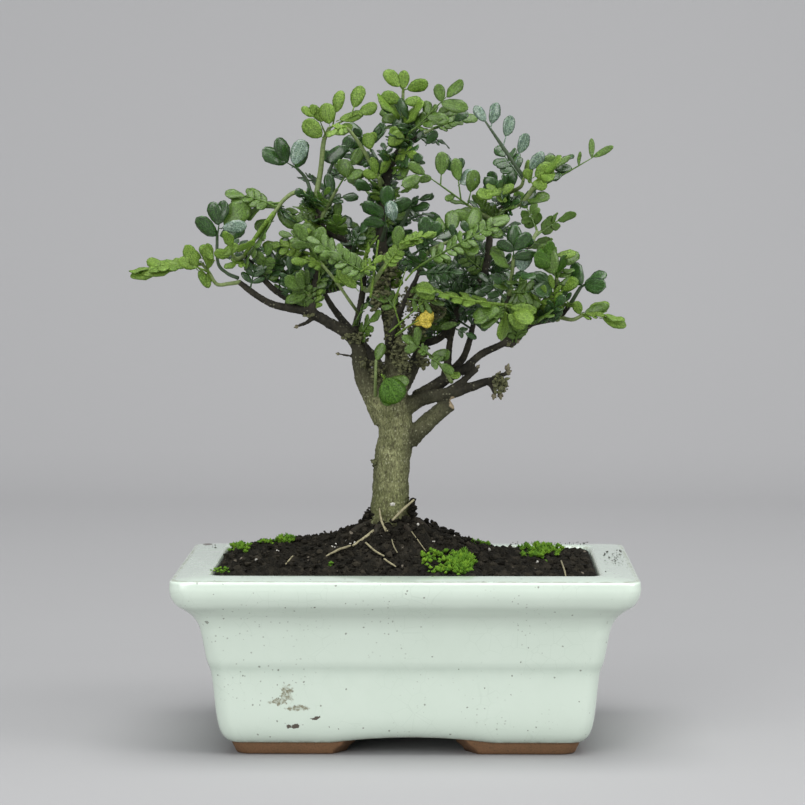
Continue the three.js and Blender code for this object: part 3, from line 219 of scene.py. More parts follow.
# Leafy sprays: name, radius of the stem at its ends, its points, and its leaves as
# [place on the stem, tip x, y, z, side leaflets, leaflet length, bare share of the stalk, arch, face, tone]
SPRAYS = [
  ("spray_left_tip", [0.9, 0.6],
    [[-76.5, -4, 208.8], [-82, -5, 208], [-87.5, -6, 207.8], [-91, -8, 213], [-94.5, -9, 217.5]], [
    [0.97, -128, -15, 213.2, 3, 10.5, 0.12, 1.5, "flat", "light"],
    [0.75, -104.8, -22, 219, [[-102.5, 225.5], [-91, 226.5], [-92, 206]], 10, 0.2, 1.5, "front", "light"],
  ]),
  ("spray_left_riser", [0.8, 0.6], [[-77.5, -3, 210.5], [-83, -4, 213], [-87, -6, 218], [-87.3, -8, 232]], [
    [0.93, -84.5, -14, 246, [[-97.5, 237.5], [-92, 244.5], [-74.6, 234.5]], 11, 0.1, 1, "front", "dark"],
  ]),
  ("spray_left_fan", [0.9, 0.7], [[-74.6, -2, 220.5], [-78.5, -11, 219.5], [-80.5, -17, 221.5]], [
    [0.95, -83, -28, 232, [[-71, 229.5], [-88.5, 223]], 9, 0.2, 1, "front", "light"],
  ]),
  ("spray_left_inner", [1, 0.7], [[-74, 0, 220], [-73, 5, 218.4], [-69, 9, 218.2]], [
    [0.97, -57.3, 7, 217.5, 1, 8, 0.1, 0.8, "up", "dark"],
    [0.5, -80, 27, 228, 2, 9, 0.35, 2, "half", "dark"],
    [0.75, -62, 29, 226, 2, 9, 0.35, 2, "up", "dark"],
  ]),
  ("spray_arch_left", [1, 0.8],
    [[-43, -1, 244.5], [-47, -3, 249.5], [-52, -3, 249.7], [-57, -4, 246], [-61, -5, 240.5]], [
    [0.98, -77, -9, 215.5, 3, 8, 0.08, -1, "left", "mid"],
    [0.9, -83.5, -6, 250.5, 2, 10, 0.15, 1, "up", "mid"],
    [0.8, -86, 7, 238.5, 2, 9.5, 0.25, 2, "half", "mid"],
    [0.94, -49.5, 3, 235.5, 1, 8, 0.1, 1, "up", "dark"],
  ]),
  ("spray_gloss_left", [0.8, 0.6], [[-43.2, 2, 246], [-46, 4, 255.5], [-50.5, 1, 261]], [
    [0.95, -66, -7, 269.5, [[-60.5, 274.5], [-47.5, 273.5]], 13, 0.1, 1, "front", "dark"],
  ]),
  ("spray_light_shoot", [1.2, 0.8],
    [[-42.4, 1, 244.5], [-39.6, 0, 260], [-38.2, -2, 273], [-35.5, -3, 279.5]], [
    [0.8, -43, -7, 289.8, [[-48, 280.5], [-36.5, 290.5]], 8, 0.1, 1, "front", "light"],
    [0.98, -13.5, -8, 289.8, [[-31, 296.5], [-22.5, 298.8], [-20, 285]], 9, 0.1, 2, "front", "light"],
  ]),
  ("spray_behind_shoot", [0.9, 0.7], [[-40.9, 2, 237.5], [-38, 7, 248], [-36, 10, 258], [-34, 11, 263]], [
    [0.95, -24.5, 12, 275, [[-38, 269]], 10, 0.15, 1, "front", "dark"],
    [0.6, -25, 27, 259, 2, 9, 0.3, 1, "half", "dark"],
    [0.45, -50, 26, 256, 2, 9, 0.3, 1.5, "back", "dark"],
  ]),
  ("spray_round_mid", [0.8, 0.6], [[-40.2, 1, 236.5], [-36, -1, 244.5], [-32, -3, 251.5]], [
    [0.95, -20.5, -5, 270, [[-30, 265.5], [-19, 258.5]], 9, 0.2, 1, "front", "mid"],
    [0.6, -22.2, 0, 248.3, 1, 9.5, 0.2, 0.8, "up", "dark"],
  ]),
  ("spray_curl", [0.9, 0.6],
    [[-11, -1, 254], [-15, -4, 260], [-19.5, -7, 268.5], [-25, -10, 276.5], [-28.5, -12, 280]], [
    [0.97, -37, -19, 275.2, 1, 6.5, 0.3, 1.5, "half", "light"],
    [0.55, -15, -13, 276.8, 0, 9, 0.15, 1, "front", "light"],
  ]),
  ("spray_crown_back", [1, 0.7], [[-10.4, 1, 256], [-13, 13, 263], [-16, 21, 269]], [
    [0.95, -26, 24, 282, [[-12, 282], [-29.5, 272]], 9.5, 0.1, 1, "front", "dark"],
    [0.4, 3, 28, 266, 2, 9, 0.3, 1.5, "up", "dark"],
    [0.6, -30, 38, 266, 2, 9, 0.3, 1.5, "back", "dark"],
  ]),
  ("spray_bud_bright", [0.9, 0.7], [[-11.4, -1, 247], [-13, -8, 257]], [
    [0.9, -20, -11, 259.5, [[-16.5, 266], [-9, 265.5]], 7, 0.1, 1, "front", "light"],
  ]),
  ("spray_top", [1, 0.6], [[-3.4, -2, 268], [-2.2, -3, 281], [-1.8, -4, 296.5]], [
    [0.98, -1.5, -7, 305.4, [[-9.8, 305.6], [9.2, 301]], 8.5, 0.02, 1, "front", "light"],
    [0.56, -11.5, -14, 295.5, 0, 12.5, 0.08, 1.5, "half", "light"],
    [0.5, 6.2, -14, 291.6, 0, 12, 0.05, 1.5, "half", "light"],
    [0.38, -12, 8, 288.5, 1, 9.5, 0.2, 1.5, "half", "mid"],
    [0.3, 5.5, 8, 285.6, 1, 8.5, 0.2, 1, "half", "mid"],
  ]),
  ("spray_arch_right", [0.9, 0.6], [[-3, -4, 269], [1, -9, 276.5]], [
    [0.95, 25.5, -16, 301, [[9, 292], [14.5, 299.5], [19.5, 282.5], [27.5, 288]], 10.5, 0.15, 1, "front", "mid"],
    [0.5, -7, -14, 279, 0, 9, 0.1, 1, "front", "light"],
  ]),
  ("spray_strip_right", [0.8, 0.6], [[2, -3, 273.5], [6, 0, 276], [12, 3, 279]], [
    [0.97, 32.5, 5, 284.5, 3, 8.5, 0.1, 0.8, "up", "mid"],
    [0.4, 20.3, 9, 271.5, 2, 9, 0.15, 0.8, "up", "dark"],
  ]),
  ("spray_centre_right", [1, 0.6], [[40.6, -2, 237], [35, -8, 239.5], [28, -12, 244]], [
    [0.97, 0.5, -20, 263.4, [[15, 268.5], [24.5, 266], [32, 260], [-3.5, 253.5], [17, 246.5]],
      9, 0.1, 1, "front", "mid"],
    [0.6, 20.8, -8, 240.6, 0, 11.5, 0.1, 1, "half", "mid"],
  ]),
  ("spray_star", [1, 0.7], [[-11.4, 1, 228], [-10.5, -9, 231.5], [-10, -16, 235]], [
    [0.95, -9, -26, 253, [[-20.5, 246], [-20, 238], [1, 247.5]], 10.5, 0.1, 1, "front", "dark"],
  ]),
  ("spray_dark_strips", [1, 0.6], [[-9.6, 2, 226.5], [-4, 0, 232], [0, -3, 240], [1, -4, 244.5]], [
    [0.97, 12, -8, 249, 1, 9, 0.1, 0.8, "up", "dark"],
    [0.8, 9.7, -12, 244, 0, 9.5, 0.2, 1, "half", "dark"],
    [0.5, 12, 16, 240, 2, 9, 0.3, 1.5, "half", "dark"],
  ]),
  ("spray_long_strip", [0.9, 0.6], [[5.6, -15, 215], [10, -19, 223], [20, -22, 228]], [
    [0.97, 46.8, -27, 239, [[20.8, 241], [33, 242], [33, 222], [43, 229]], 10, 0.1, 1, "half", "mid"],
    [0.5, 8, -30, 238, [[15.5, 236.5]], 11, 0.1, 1, "front", "dark"],
  ]),
  ("spray_bright_strip", [0.9, 0.9],
    [[-20, 2, 206], [-18, -12, 205], [-14, -25, 211], [-8, -33, 219.5], [-2, -37, 225.5]], [
    [0.98, 13.5, -45, 231, 1, 9.5, 0.1, 1.5, "flat", "light"],
    [0.88, -4, -39, 234.5, 0, 8, 0.1, 1, "half", "mid"],
  ]),
  ("spray_fan_left", [0.9, 0.7], [[-19.7, 2, 212], [-20.5, -7, 215], [-22, -14, 213]], [
    [0.5, -13.8, -14, 230.5, 2, 7, 0.35, 1, "left", "light"],
    [0.96, -33.8, -22, 209.5, 1, 10, 0.1, 1.5, "front", "light"],
  ]),
  ("spray_mid_left", [0.7, 0.6], [[-22, 3, 194], [-26, -9, 199.5], [-33, -14, 209.5], [-41, -17, 219]], [
    [0.97, -51.5, -24, 235.5, [[-38.5, 234], [-33, 224], [-53.5, 226]], 9.5, 0.05, 1.5, "front", "mid"],
    [0.92, -53.5, -22, 218.6, 1, 8.5, 0.1, 0.8, "up", "light"],
  ]),
  ("spray_twig_top", [1, 0.7], [[-41.8, 0, 215], [-42, -3, 221]], [
    [0.95, -66.5, -6, 226.6, 2, 9, 0.2, 1.2, "up", "light"],
    [0.7, -59, 3, 221.2, 1, 8.5, 0.2, 0.8, "up", "light"],
    [0.85, -36, 14, 233, 2, 9, 0.3, 1.5, "half", "mid"],
  ]),
  ("spray_twig_low", [0.9, 0.7], [[-43.4, -3, 201], [-45.4, -8, 203.5]], [
    [0.95, -56, -14, 211, [[-50, 213.5]], 10, 0.05, 1, "front", "mid"],
    [0.75, -56, -9, 200.5, 0, 9.5, 0.15, 1, "front", "mid"],
  ]),
  # Its first leaf carries painted glare: a dark glossy leaf given a pale grey green where glare lies on it
  ("spray_arc_right", [0.9, 0.6], [[46, -3, 249.5], [52, -9, 252.5], [53.5, -12, 257]], [
    [0.97, 31, -20, 289.3, [[62, 268.5], [54.8, 277], [49, 284.6], [42.3, 290.5]], 8.5, 0.05, 0, "front", "silver"],
    [0.8, 41, 6, 271, 2, 9, 0.2, 1, "front", "dark"],
  ]),
  ("spray_right_bright", [1.2, 0.9], [[43, -3, 241], [49, -6, 243.5], [54, -8, 246.5], [58, -11, 252.5]], [
    [0.97, 71, -25, 266, [[54, 261.5], [67.5, 255]], 12, 0.1, 1.5, "half", "light"],
    [0.92, 76, -1, 268, 1, 8.5, 0.2, 1, "half", "dark"],
    [0.87, 94, -14, 271.5, [[78.6, 269], [85, 275]], 10.5, 0.4, -3, "front", "mid", 0.5],
    [0.6, 64.8, -13, 249, 0, 11, 0.15, 1, "half", "mid"],
  ]),
  ("spray_small_bright", [1, 0.7], [[45, -2, 245.5], [45.4, -8, 249.5]], [
    [0.95, 32.3, -22, 248.6, 1, 10.5, 0.1, 1, "half", "light"],
    [0.75, 48.8, -12, 259.4, [[38, 259]], 9, 0.1, 1, "front", "dark"],
  ]),
  ("spray_gloss_right", [0.9, 0.7], [[46.8, -14, 203], [48, -20, 212], [48.8, -24, 221]], [
    [0.93, 49, -30, 234.2, [[57.8, 230], [58.4, 221], [41.5, 228.5]], 11, 0.05, 1, "front", "dark"],
    [0.6, 39, -32, 222.5, 0, 12.5, 0.2, 1, "half", "mid"],
    [0.45, 58.5, -30, 212, 1, 9, 0.15, 1, "half", "dark"],
    [0.25, 38, -28, 211, 1, 9, 0.2, 1, "half", "dark"],
  ]),
  ("spray_bright_tall", [1.1, 0.8], [[69, -8, 191], [68.3, -10, 203], [68.6, -13, 211]], [
    [0.98, 64, -24, 227.6, [[57, 221.5], [73, 221.5]], 12, 0.1, 1.5, "half", "bright"],
    [0.93, 78, -8, 223.5, 1, 9.5, 0.2, 1, "up", "mid"],
    [0.7, 78, -20, 209, 0, 10.5, 0.1, 1, "front", "light"],
    [0.8, 57, -15, 210, [[60, 201]], 10.5, 0.1, 1, "half", "dark"],
  ]),
  ("spray_right_pair", [0.9, 0.7], [[74.6, -9, 198], [77.5, -11, 203], [79.7, -12, 206.6]], [
    [0.93, 91, -17, 213.4, [[77.5, 217], [91, 205.5]], 11, 0.1, 1, "half", "dark"],
  ]),
  ("spray_right_tip", [0.9, 0.7], [[70.4, -8, 192.6], [76, -11, 191.6], [80.5, -12, 193.6]], [
    [0.97, 100, -17, 190.3, 2, 11, 0.1, 2, "flat", "light"],
    [0.85, 92.6, -6, 199, 0, 10, 0.3, 1, "up", "light"],
  ]),
  ("spray_low_right", [1, 0.9], [[44.4, -12, 194], [45.6, -19, 198.5]], [
    [0.97, 4.5, -34, 208, 3, 10, 0.1, -2, "flat", "light"],
    [0.95, 58.8, -28, 195.5, [[55, 188.5]], 12, 0.1, 1, "half", "light"],
    [0.7, 45.8, -26, 183, 0, 12, 0.1, 1, "right", "light"],
    [0.85, 31, -30, 190, 1, 9.5, 0.25, 1, "half", "mid"],
  ]),
  ("leaf_yellow", [0.7, 0.6], [[-6.6, -7, 183], [-1, -13, 187.4]], [
    [0.95, 11.8, -16, 193.4, 0, 7.5, 0.35, 0.8, "half", "yellow"],
  ]),
  ("leaf_trunk_small", [0.7, 0.6], [[-14.6, -5, 156], [-14.6, -11, 164], [-14.3, -13, 173]], [
    [0.97, -11.5, -14, 180.8, 0, 8.5, 0.05, 1, "front", "mid"],
  ]),
  ("leaf_trunk_bright", [0.7, 0.6], [[-12.6, -6, 156], [-10.4, -14, 163]], [
    [0.95, 0.3, -19, 163.4, [[-7.5, 152]], 10, 0.05, 1, "front", "mid"],
  ]),
  ("spray_low_petiole", [0.8, 0.6], [[20.6, -5, 162.6], [15, -12, 171], [7, -18, 178]], [
    [0.93, -2, -22, 184.4, [[4, 188.5], [-1.5, 177.5]], 8, 0.1, 1, "front", "mid"],
    [0.6, 19, -19, 177, 0, 9, 0.1, 1, "half", "mid"],
  ]),
  # Sprays inside and behind the crown, whose dark leaves are partly painted shade
  ("spray_inner_left", [1, 0.7], [[-25, 6, 222], [-24, 0, 226]], [
    [0.95, -17, 1, 238, 1, 10, 0.2, 1, "half", "dark"],
    [0.4, -28, 14, 240, 2, 9, 0.3, 1, "half", "dark"],
  ]),
  ("spray_inner_low", [1, 0.7], [[24, 5, 195], [28, -1, 200]], [
    [0.95, 40, -4, 212, 2, 9.5, 0.2, 1, "half", "dark"],
    [0.4, 14, -4, 213, 2, 9.5, 0.2, 1, "half", "dark"],
    [0.2, 37, 8, 187, 1, 9, 0.3, 1, "half", "dark"],
  ]),
  ("spray_inner_centre", [1, 0.7], [[-10, 4, 212], [-2, 10, 218], [4, 13, 222]], [
    [0.97, 22, 17, 232, 2, 10, 0.2, 1.5, "half", "dark"],
    [0.55, 17, 25, 212, 2, 10, 0.2, 1.5, "half", "dark"],
    [0.25, -3, 24, 235, 2, 9, 0.2, 1.5, "half", "dark"],
  ]),
  ("spray_inner_right", [1, 0.7], [[36, 21, 198], [40, 26, 204]], [
    [0.95, 57, 38, 213, 2, 10, 0.2, 2, "half", "dark"],
    [0.55, 27, 40, 219, 2, 10, 0.2, 2, "half", "dark"],
    [0.25, 52, 20, 191, 2, 9, 0.2, 1, "half", "dark"],
  ]),
  ("spray_back_left", [1, 0.7], [[-39.5, 45.5, 207], [-44, 50, 214]], [
    [0.97, -62, 58, 226, 2, 10, 0.2, 2, "back", "mid"],
    [0.55, -34, 62, 232, 2, 10, 0.2, 2, "back", "mid"],
    [0.2, -56, 46, 198, 2, 9.5, 0.2, 2, "back", "mid"],
  ]),
  ("spray_back_mid", [1, 0.7], [[-15.8, 30.5, 242], [-17, 33, 249]], [
    [0.97, -34, 46, 262, 2, 10, 0.2, 2, "back", "mid"],
    [0.55, 2, 46, 260, 2, 10, 0.2, 2, "back", "mid"],
    [0.2, -16, 56, 240, 2, 10, 0.2, 2, "back", "mid"],
  ]),
  ("spray_back_centre", [1, 0.7], [[21.6, 49.6, 216], [24, 54, 224]], [
    [0.97, 10, 60, 240, 2, 10, 0.2, 2, "back", "dark"],
    [0.55, 42, 62, 236, 2, 10, 0.2, 2, "back", "dark"],
    [0.2, 20, 68, 212, 2, 9.5, 0.2, 2, "back", "dark"],
  ]),
  ("spray_back_right", [1, 0.7], [[56.6, 27.6, 225.4], [60, 31, 232]], [
    [0.97, 50, 40, 250, 2, 10, 0.2, 2, "back", "mid"],
    [0.55, 78, 38, 240, 2, 10, 0.2, 2, "back", "mid"],
    [0.2, 68, 48, 222, 2, 9.5, 0.2, 2, "back", "mid"],
  ]),
]


# The sizes and colours that a user would change


def tint(name, description, rgb):
    """A colour property with its default in linear light."""
    return bpy.props.FloatVectorProperty(
        name=name, description=description, default=(*rgb, 1.0), size=4, subtype="COLOR", min=0.0, max=1.0)


class PotValues(bpy.types.PropertyGroup):
    """Glaze and clay of the pot"""
    glaze: tint("Glaze", "Pale celadon glaze", (0.575, 0.655, 0.57))
    pooled: tint("Pooled glaze", "Where the glaze lies thick in hollows", (0.41, 0.5, 0.42))
    clay: tint("Bare clay", "Unglazed feet", (0.165, 0.086, 0.037))
    speck: tint("Specks", "Iron specks and chips", (0.07, 0.055, 0.04))
    crackle: bpy.props.FloatProperty(
        name="Crackle cell", description="Width of the crackle's cells in the glaze", default=0.0065, min=0.001,
        unit="LENGTH")


class SoilValues(bpy.types.PropertyGroup):
    """Soil, moss and litter"""
    soil: tint("Soil", "Moist dark crumbs", (0.0055, 0.005, 0.0033))
    crumb: bpy.props.FloatProperty(
        name="Crumb size", description="Usual width of a loose crumb in millimetres", default=1.65, min=0.3)
    crumb_count: bpy.props.IntProperty(
        name="Crumbs", description="Number of loose crumbs", default=3600, min=0)
    moss: tint("Moss", "Fresh moss", (0.06, 0.15, 0.008))
    straw: tint("Straws", "Dry rootlets and straws", (0.3, 0.27, 0.16))
    perlite: tint("Perlite", "White grains", (0.6, 0.58, 0.52))


class TreeValues(bpy.types.PropertyGroup):
    """Bark and buds"""
    bark: tint("Bark", "Olive bark of the trunk", (0.118, 0.124, 0.052))
    fissure: tint("Fissures", "Dark cracks in the bark", (0.035, 0.03, 0.018))
    twig: tint("Twigs", "Bark of the limbs and twigs", (0.012, 0.011, 0.008))
    lichen: tint("Lichen", "Lichen and moss on the wood", (0.15, 0.155, 0.065))
    relief: bpy.props.FloatProperty(
        name="Bark relief", description="Depth of the fissures in millimetres", default=0.17, min=0.0)
    voxel: bpy.props.FloatProperty(
        name="Wood grain size", description="Size of the mesh's cells in millimetres", default=0.6, min=0.3)


class LeafValues(bpy.types.PropertyGroup):
    """Leaves"""
    # Dark leaves: old glossy leaves, and partly painted shade for the leaves inside and behind the crown
    dark: tint("Dark leaves", "Old glossy leaves", (0.02, 0.048, 0.011))
    mid: tint("Mid leaves", "Grown leaves", (0.062, 0.112, 0.018))
    light: tint("Light leaves", "Young leaves", (0.086, 0.156, 0.016))
    yellow: tint("Yellow leaf", "The one yellow leaf", (0.42, 0.32, 0.03))
    bright: tint("Bright leaf", "The round leaf on the trunk", (0.022, 0.062, 0.002))
    # Painted glare: dark glossy leaves given a pale grey green where glare lies on them
    silver: tint("Silver leaves", "Glossy leaves that catch the light", (0.055, 0.1, 0.068))
    thickness: bpy.props.FloatProperty(
        name="Leaflet thickness", description="Thickness in millimetres", default=0.28, min=0.1)
    width: bpy.props.FloatProperty(
        name="Leaflet width", description="Half width as a share of the leaflet's length", default=0.31, min=0.1,
        max=0.5)
    inner: bpy.props.IntProperty(
        name="Inner fronds", description="Number of small fronds inside the crown", default=205, min=0)


class StudioValues(bpy.types.PropertyGroup):
    """Camera, floor and lights"""
    lens: bpy.props.FloatProperty(name="Lens", description="Focal length in millimetres", default=142.17, min=20)
    eye: bpy.props.FloatVectorProperty(
        name="Eye", description="Where the camera stands, in millimetres from the pot's middle",
        default=(20.0, -1461.0, 252.0), size=3)
    aim: bpy.props.FloatVectorProperty(
        name="Aim", description="Where the camera looks, in millimetres from the pot's middle",
        default=(-2.07, 0.0, 153.3), size=3)
    floor: tint("Floor", "Paper under the pot", (0.31, 0.308, 0.31))
    paper: tint("Backdrop", "Paper behind the pot", (0.45, 0.444, 0.446))
    key: bpy.props.FloatProperty(
        name="Key light", description="Power of the overhead light", default=27.5, min=0, unit="POWER")
    fill: bpy.props.FloatProperty(
        name="Fill light", description="Power of the front light", default=24.5, min=0, unit="POWER")


# Places and shapes


def place(points):
    """Slides points (x and z as seen in the plane y = 0, y as depth) along their line of sight to their depth."""
    points = np.asarray(points, float)
    reach = (points[..., 1:2] - EYE[1]) / -EYE[1]
    moved = EYE + (points - EYE) * reach
    moved[..., 1] = points[..., 1]
    return moved


def seen_from_front(points):
    """x and z of points as seen in the plane y = 0, the way back from place()."""
    reach = -EYE[1] / (points[..., 1:2] - EYE[1])
    return (EYE + (points - EYE) * reach)[..., [0, 2]]


def near_seen(points, spots):
    """How near points lie to any spot (x, z, half width, half height) as seen from the front: 1.2 at its middle,
    falling by 1 to its rim."""
    seen = seen_from_front(points)
    spots = np.asarray(spots, float)
    off = (seen[..., None, :] - spots[:, :2]) / spots[:, 2:]
    return np.clip(1.2 - np.linalg.norm(off, axis=-1), 0, 1).max(-1)


def aim_at(obj, spot, target):
    """Stands a light or camera at a spot and turns it toward a target, both in metres from the pot's middle."""
    obj.location = np.array(spot) + POT_MIDDLE / 1000
    obj.rotation_euler = (Vector(target) - Vector(spot)).to_track_quat("-Z", "Y").to_euler()
    return obj


def through(points, shares):
    """Smooth curve through points: cubic Hermite pieces, whose slope at a point is half the chord of its
    neighbours."""
    points = np.asarray(points, float)
    ends = np.vstack([2 * points[0] - points[1], points, 2 * points[-1] - points[-2]])
    along = np.clip(np.asarray(shares, float), 0, 1) * (len(points) - 1)
    first = np.minimum(along.astype(int), len(points) - 2)
    w = (along - first)[:, None]
    a, b, c, d = (ends[first + k] for k in range(4))
    s, e = (c - a) / 2, (d - b) / 2
    return b + s * w + (3 * (c - b) - 2 * s - e) * w ** 2 + (2 * (b - c) + s + e) * w ** 3


def unit(vectors):
    """Vectors divided by their length."""
    return vectors / np.maximum(np.linalg.norm(vectors, axis=-1, keepdims=True), 1e-9)


def lattice(points, seed=0):
    """Smooth noise from -1 to 1: random values on a unit lattice, blended with a smooth step between its corners."""
    points = np.asarray(points, float)
    cell = np.floor(points).astype(np.int64)
    part = points - cell
    part = part * part * (3 - 2 * part)
    total = np.zeros(points.shape[:-1])
    for corner in np.ndindex(2, 2, 2):
        key = cell + corner
        mixed = key[..., 0] * 73856093 ^ key[..., 1] * 19349663 ^ key[..., 2] * 83492791 ^ (seed * 2654435761)
        mixed = (mixed ^ (mixed >> 13)) * 1274126177 & 0xFFFFFFFF
        value = ((mixed ^ (mixed >> 16)) & 0xFFFF) / 32767.5 - 1
        weight = np.prod(np.where(corner, part, 1 - part), axis=-1)
        total += value * weight
    return total


def grid_faces(rows, columns, round_columns=False):
    """Quads between neighbouring points of a grid, joined up where its rows close on themselves."""
    r = np.arange(rows - 1)[:, None] * columns
    c = np.arange(columns if round_columns else columns - 1)[None, :]
    c2 = (c + 1) % columns
    return np.stack([r + c, r + c2, r + columns + c2, r + columns + c], axis=-1).reshape(-1, 4)


def closed_faces(rows, columns):
    """Faces between rings that close on themselves, with a fan of triangles over the first and the last ring."""
    step = np.arange(1, columns - 1)
    first = np.stack([step * 0, step + 1, step, step], 1)
    last = (rows - 1) * columns + np.stack([step * 0, step, step + 1, step + 1], 1)
    return np.vstack([grid_faces(rows, columns, round_columns=True), first, last])


class Parts:
    """Gathers grids, tubes and blades into the arrays of one mesh."""

    def __init__(self):
        self.points, self.quads, self.values, self.uv, self.slots = [], [], {}, [], []
        self.count = 0

    def add(self, points, quads, uv=None, slot=0, **values):
        """Adds points with their faces, UVs and values per point. A triangle is a quad that repeats its last
        point."""
        points = points.reshape(-1, 3)
        self.points.append(points)
        self.quads.append(quads + self.count)
        self.uv.append(np.zeros((len(points), 2)) if uv is None else uv.reshape(-1, 2))
        self.slots.append(np.full(len(quads), slot))
        for name in set(self.values) | set(values):
            have = self.values.setdefault(name, [np.zeros(self.count)] if self.count else [])
            have.append(np.broadcast_to(values.get(name, 0.0), len(points)).astype(float))
        self.count += len(points)

    def piece(self, name, materials, smooth=True):
        """Makes the mesh object, in the frame, in metres."""
        points = (np.concatenate(self.points) + POT_MIDDLE) / 1000
        quads = np.concatenate(self.quads)
        slots = np.concatenate(self.slots)
        three = quads[:, 2] == quads[:, 3]
        loops = quads.ravel()[~np.stack([three * 0, three * 0, three * 0, three], 1).astype(bool).ravel()]
        sizes = np.where(three, 3, 4)
        mesh = bpy.data.meshes.new(name)
        mesh.vertices.add(len(points))
        mesh.vertices.foreach_set("co", points.ravel())
        mesh.loops.add(len(loops))
        mesh.loops.foreach_set("vertex_index", loops)
        mesh.polygons.add(len(sizes))
        mesh.polygons.foreach_set("loop_start", np.cumsum(sizes) - sizes)
        mesh.polygons.foreach_set("material_index", slots)
        mesh.polygons.foreach_set("use_smooth", np.full(len(sizes), smooth))
        mesh.update(calc_edges=True)
        uv_map = mesh.uv_layers.new(name="UVMap")
        uv_map.data.foreach_set("uv", np.concatenate(self.uv)[loops].ravel())
        for key, chunks in self.values.items():
            layer = mesh.attributes.new(key, "FLOAT", "POINT")
            layer.data.foreach_set("value", np.concatenate(chunks))
        for material in materials:
            mesh.materials.append(material)
        return link(bpy.data.objects.new(name, mesh))


def link(obj):
    """Puts an object into the scene."""
    bpy.context.scene.collection.objects.link(obj)
    return obj


def apply(obj, kind, **settings):
    """Adds a modifier to an object and makes its result the object's own mesh."""
    modifier = obj.modifiers.new(kind.lower(), kind)
    for key, value in settings.items():
        setattr(modifier, key, value)
    bpy.context.view_layer.objects.active = obj
    bpy.ops.object.modifier_apply(modifier=modifier.name)


def finish_piece(obj, slot, *nodes):
    """Lets a piece ride on the object and stand for its CAD nodes. The slot it is given is not used."""
    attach(obj, "root")
    if nodes:
        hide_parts(*nodes)
    return obj


# How far a tube's blunt end reaches and how wide it is there, in share of the tube's radius
BLUNT_REACH = 0.3
BLUNT_RADIUS = 0.35


def add_tube(parts, points, radii, sides, samples, flat=1.0, **values):
    """A round profile carried along a smooth curve: each ring stands square to the curve, turned by the direction
    that the curve leaves least, and both ends close in a blunt point. flat squeezes the profile upright."""
    t = np.linspace(0, 1, samples)
    centres = through(points, t)
    radius = np.interp(t, np.linspace(0, 1, len(radii)), radii)
    tangent = unit(np.gradient(centres, axis=0))
    calm = np.linalg.svd(tangent - tangent.mean(0))[2][-1] if len(points) > 2 else np.array([0.31, 0.9, 0.3])
    if abs(np.dot(calm, unit(tangent.mean(0)))) > 0.9:
        calm = unit(np.cross(calm, [0.9, 0.1, 0.42]))
    across = unit(np.cross(tangent, calm))
    beside = np.cross(tangent, across)
    centres = np.vstack([centres[:1], centres, centres[-1:]])
    centres[0] -= BLUNT_REACH * radius[0] * tangent[0]
    centres[-1] += BLUNT_REACH * radius[-1] * tangent[-1]
    radius = np.concatenate([[radius[0] * BLUNT_RADIUS], radius, [radius[-1] * BLUNT_RADIUS]])
    across = np.vstack([across[:1], across, across[-1:]])
    beside = np.vstack([beside[:1], beside, beside[-1:]])
    angle = 2 * np.pi * np.arange(sides) / sides
    ring = (np.cos(angle)[None, :, None] * across[:, None] + flat * np.sin(angle)[None, :, None] * beside[:, None])
    points = centres[:, None] + radius[:, None, None] * ring
    rows = samples + 2
    uv = np.stack(np.broadcast_arrays(np.linspace(0, 1, rows)[:, None], (angle / (2 * np.pi))[None]), -1)
    parts.add(points, closed_faces(rows, sides), uv, **values)


def soil_height(x, y):
    """Height of the soil: a bell shaped mound round the trunk and a lower one to its left, fading to the pot's edge
    by the square root of the distance, with low clods from products of sines."""
    def bump(height, middle, spread):
        along = -((x - middle[0]) ** 2) / (2 * spread[0] ** 2)
        return height * np.exp(along - ((y - middle[1]) ** 2) / (2 * spread[1] ** 2))

    edge = np.minimum(np.minimum((OPENING[0] - np.abs(x)) / 12, (OPENING[1] - np.abs(y)) / 12), 1)
    fade = np.sqrt(np.maximum(edge, 0))
    clods = np.sin(0.71 * x + 1.3) * np.cos(0.63 * y) + np.sin(0.43 * x - 0.57 * y)
    return SOIL_EDGE_Z + fade * (bump(*MOUND) + bump(*RIDGE) + CLOD_RELIEF * 0.5 * clods)


def on_soil(seen):
    """Where the line of sight through each [x, z] of the plane y = 0 first meets the soil."""
    seen = np.asarray(seen, float)
    depth = np.linspace(-58, 58, 465)
    tries = np.stack(np.broadcast_arrays(seen[:, None, 0], depth[None], seen[:, None, 1]), -1)
    spots = place(tries)
    under = spots[..., 2] <= soil_height(spots[..., 0], spots[..., 1])
    first = np.where(under.any(1), under.argmax(1), len(depth) - 1)
    found = spots[np.arange(len(seen)), first]
    found[:, 2] = soil_height(found[:, 0], found[:, 1])
    return found


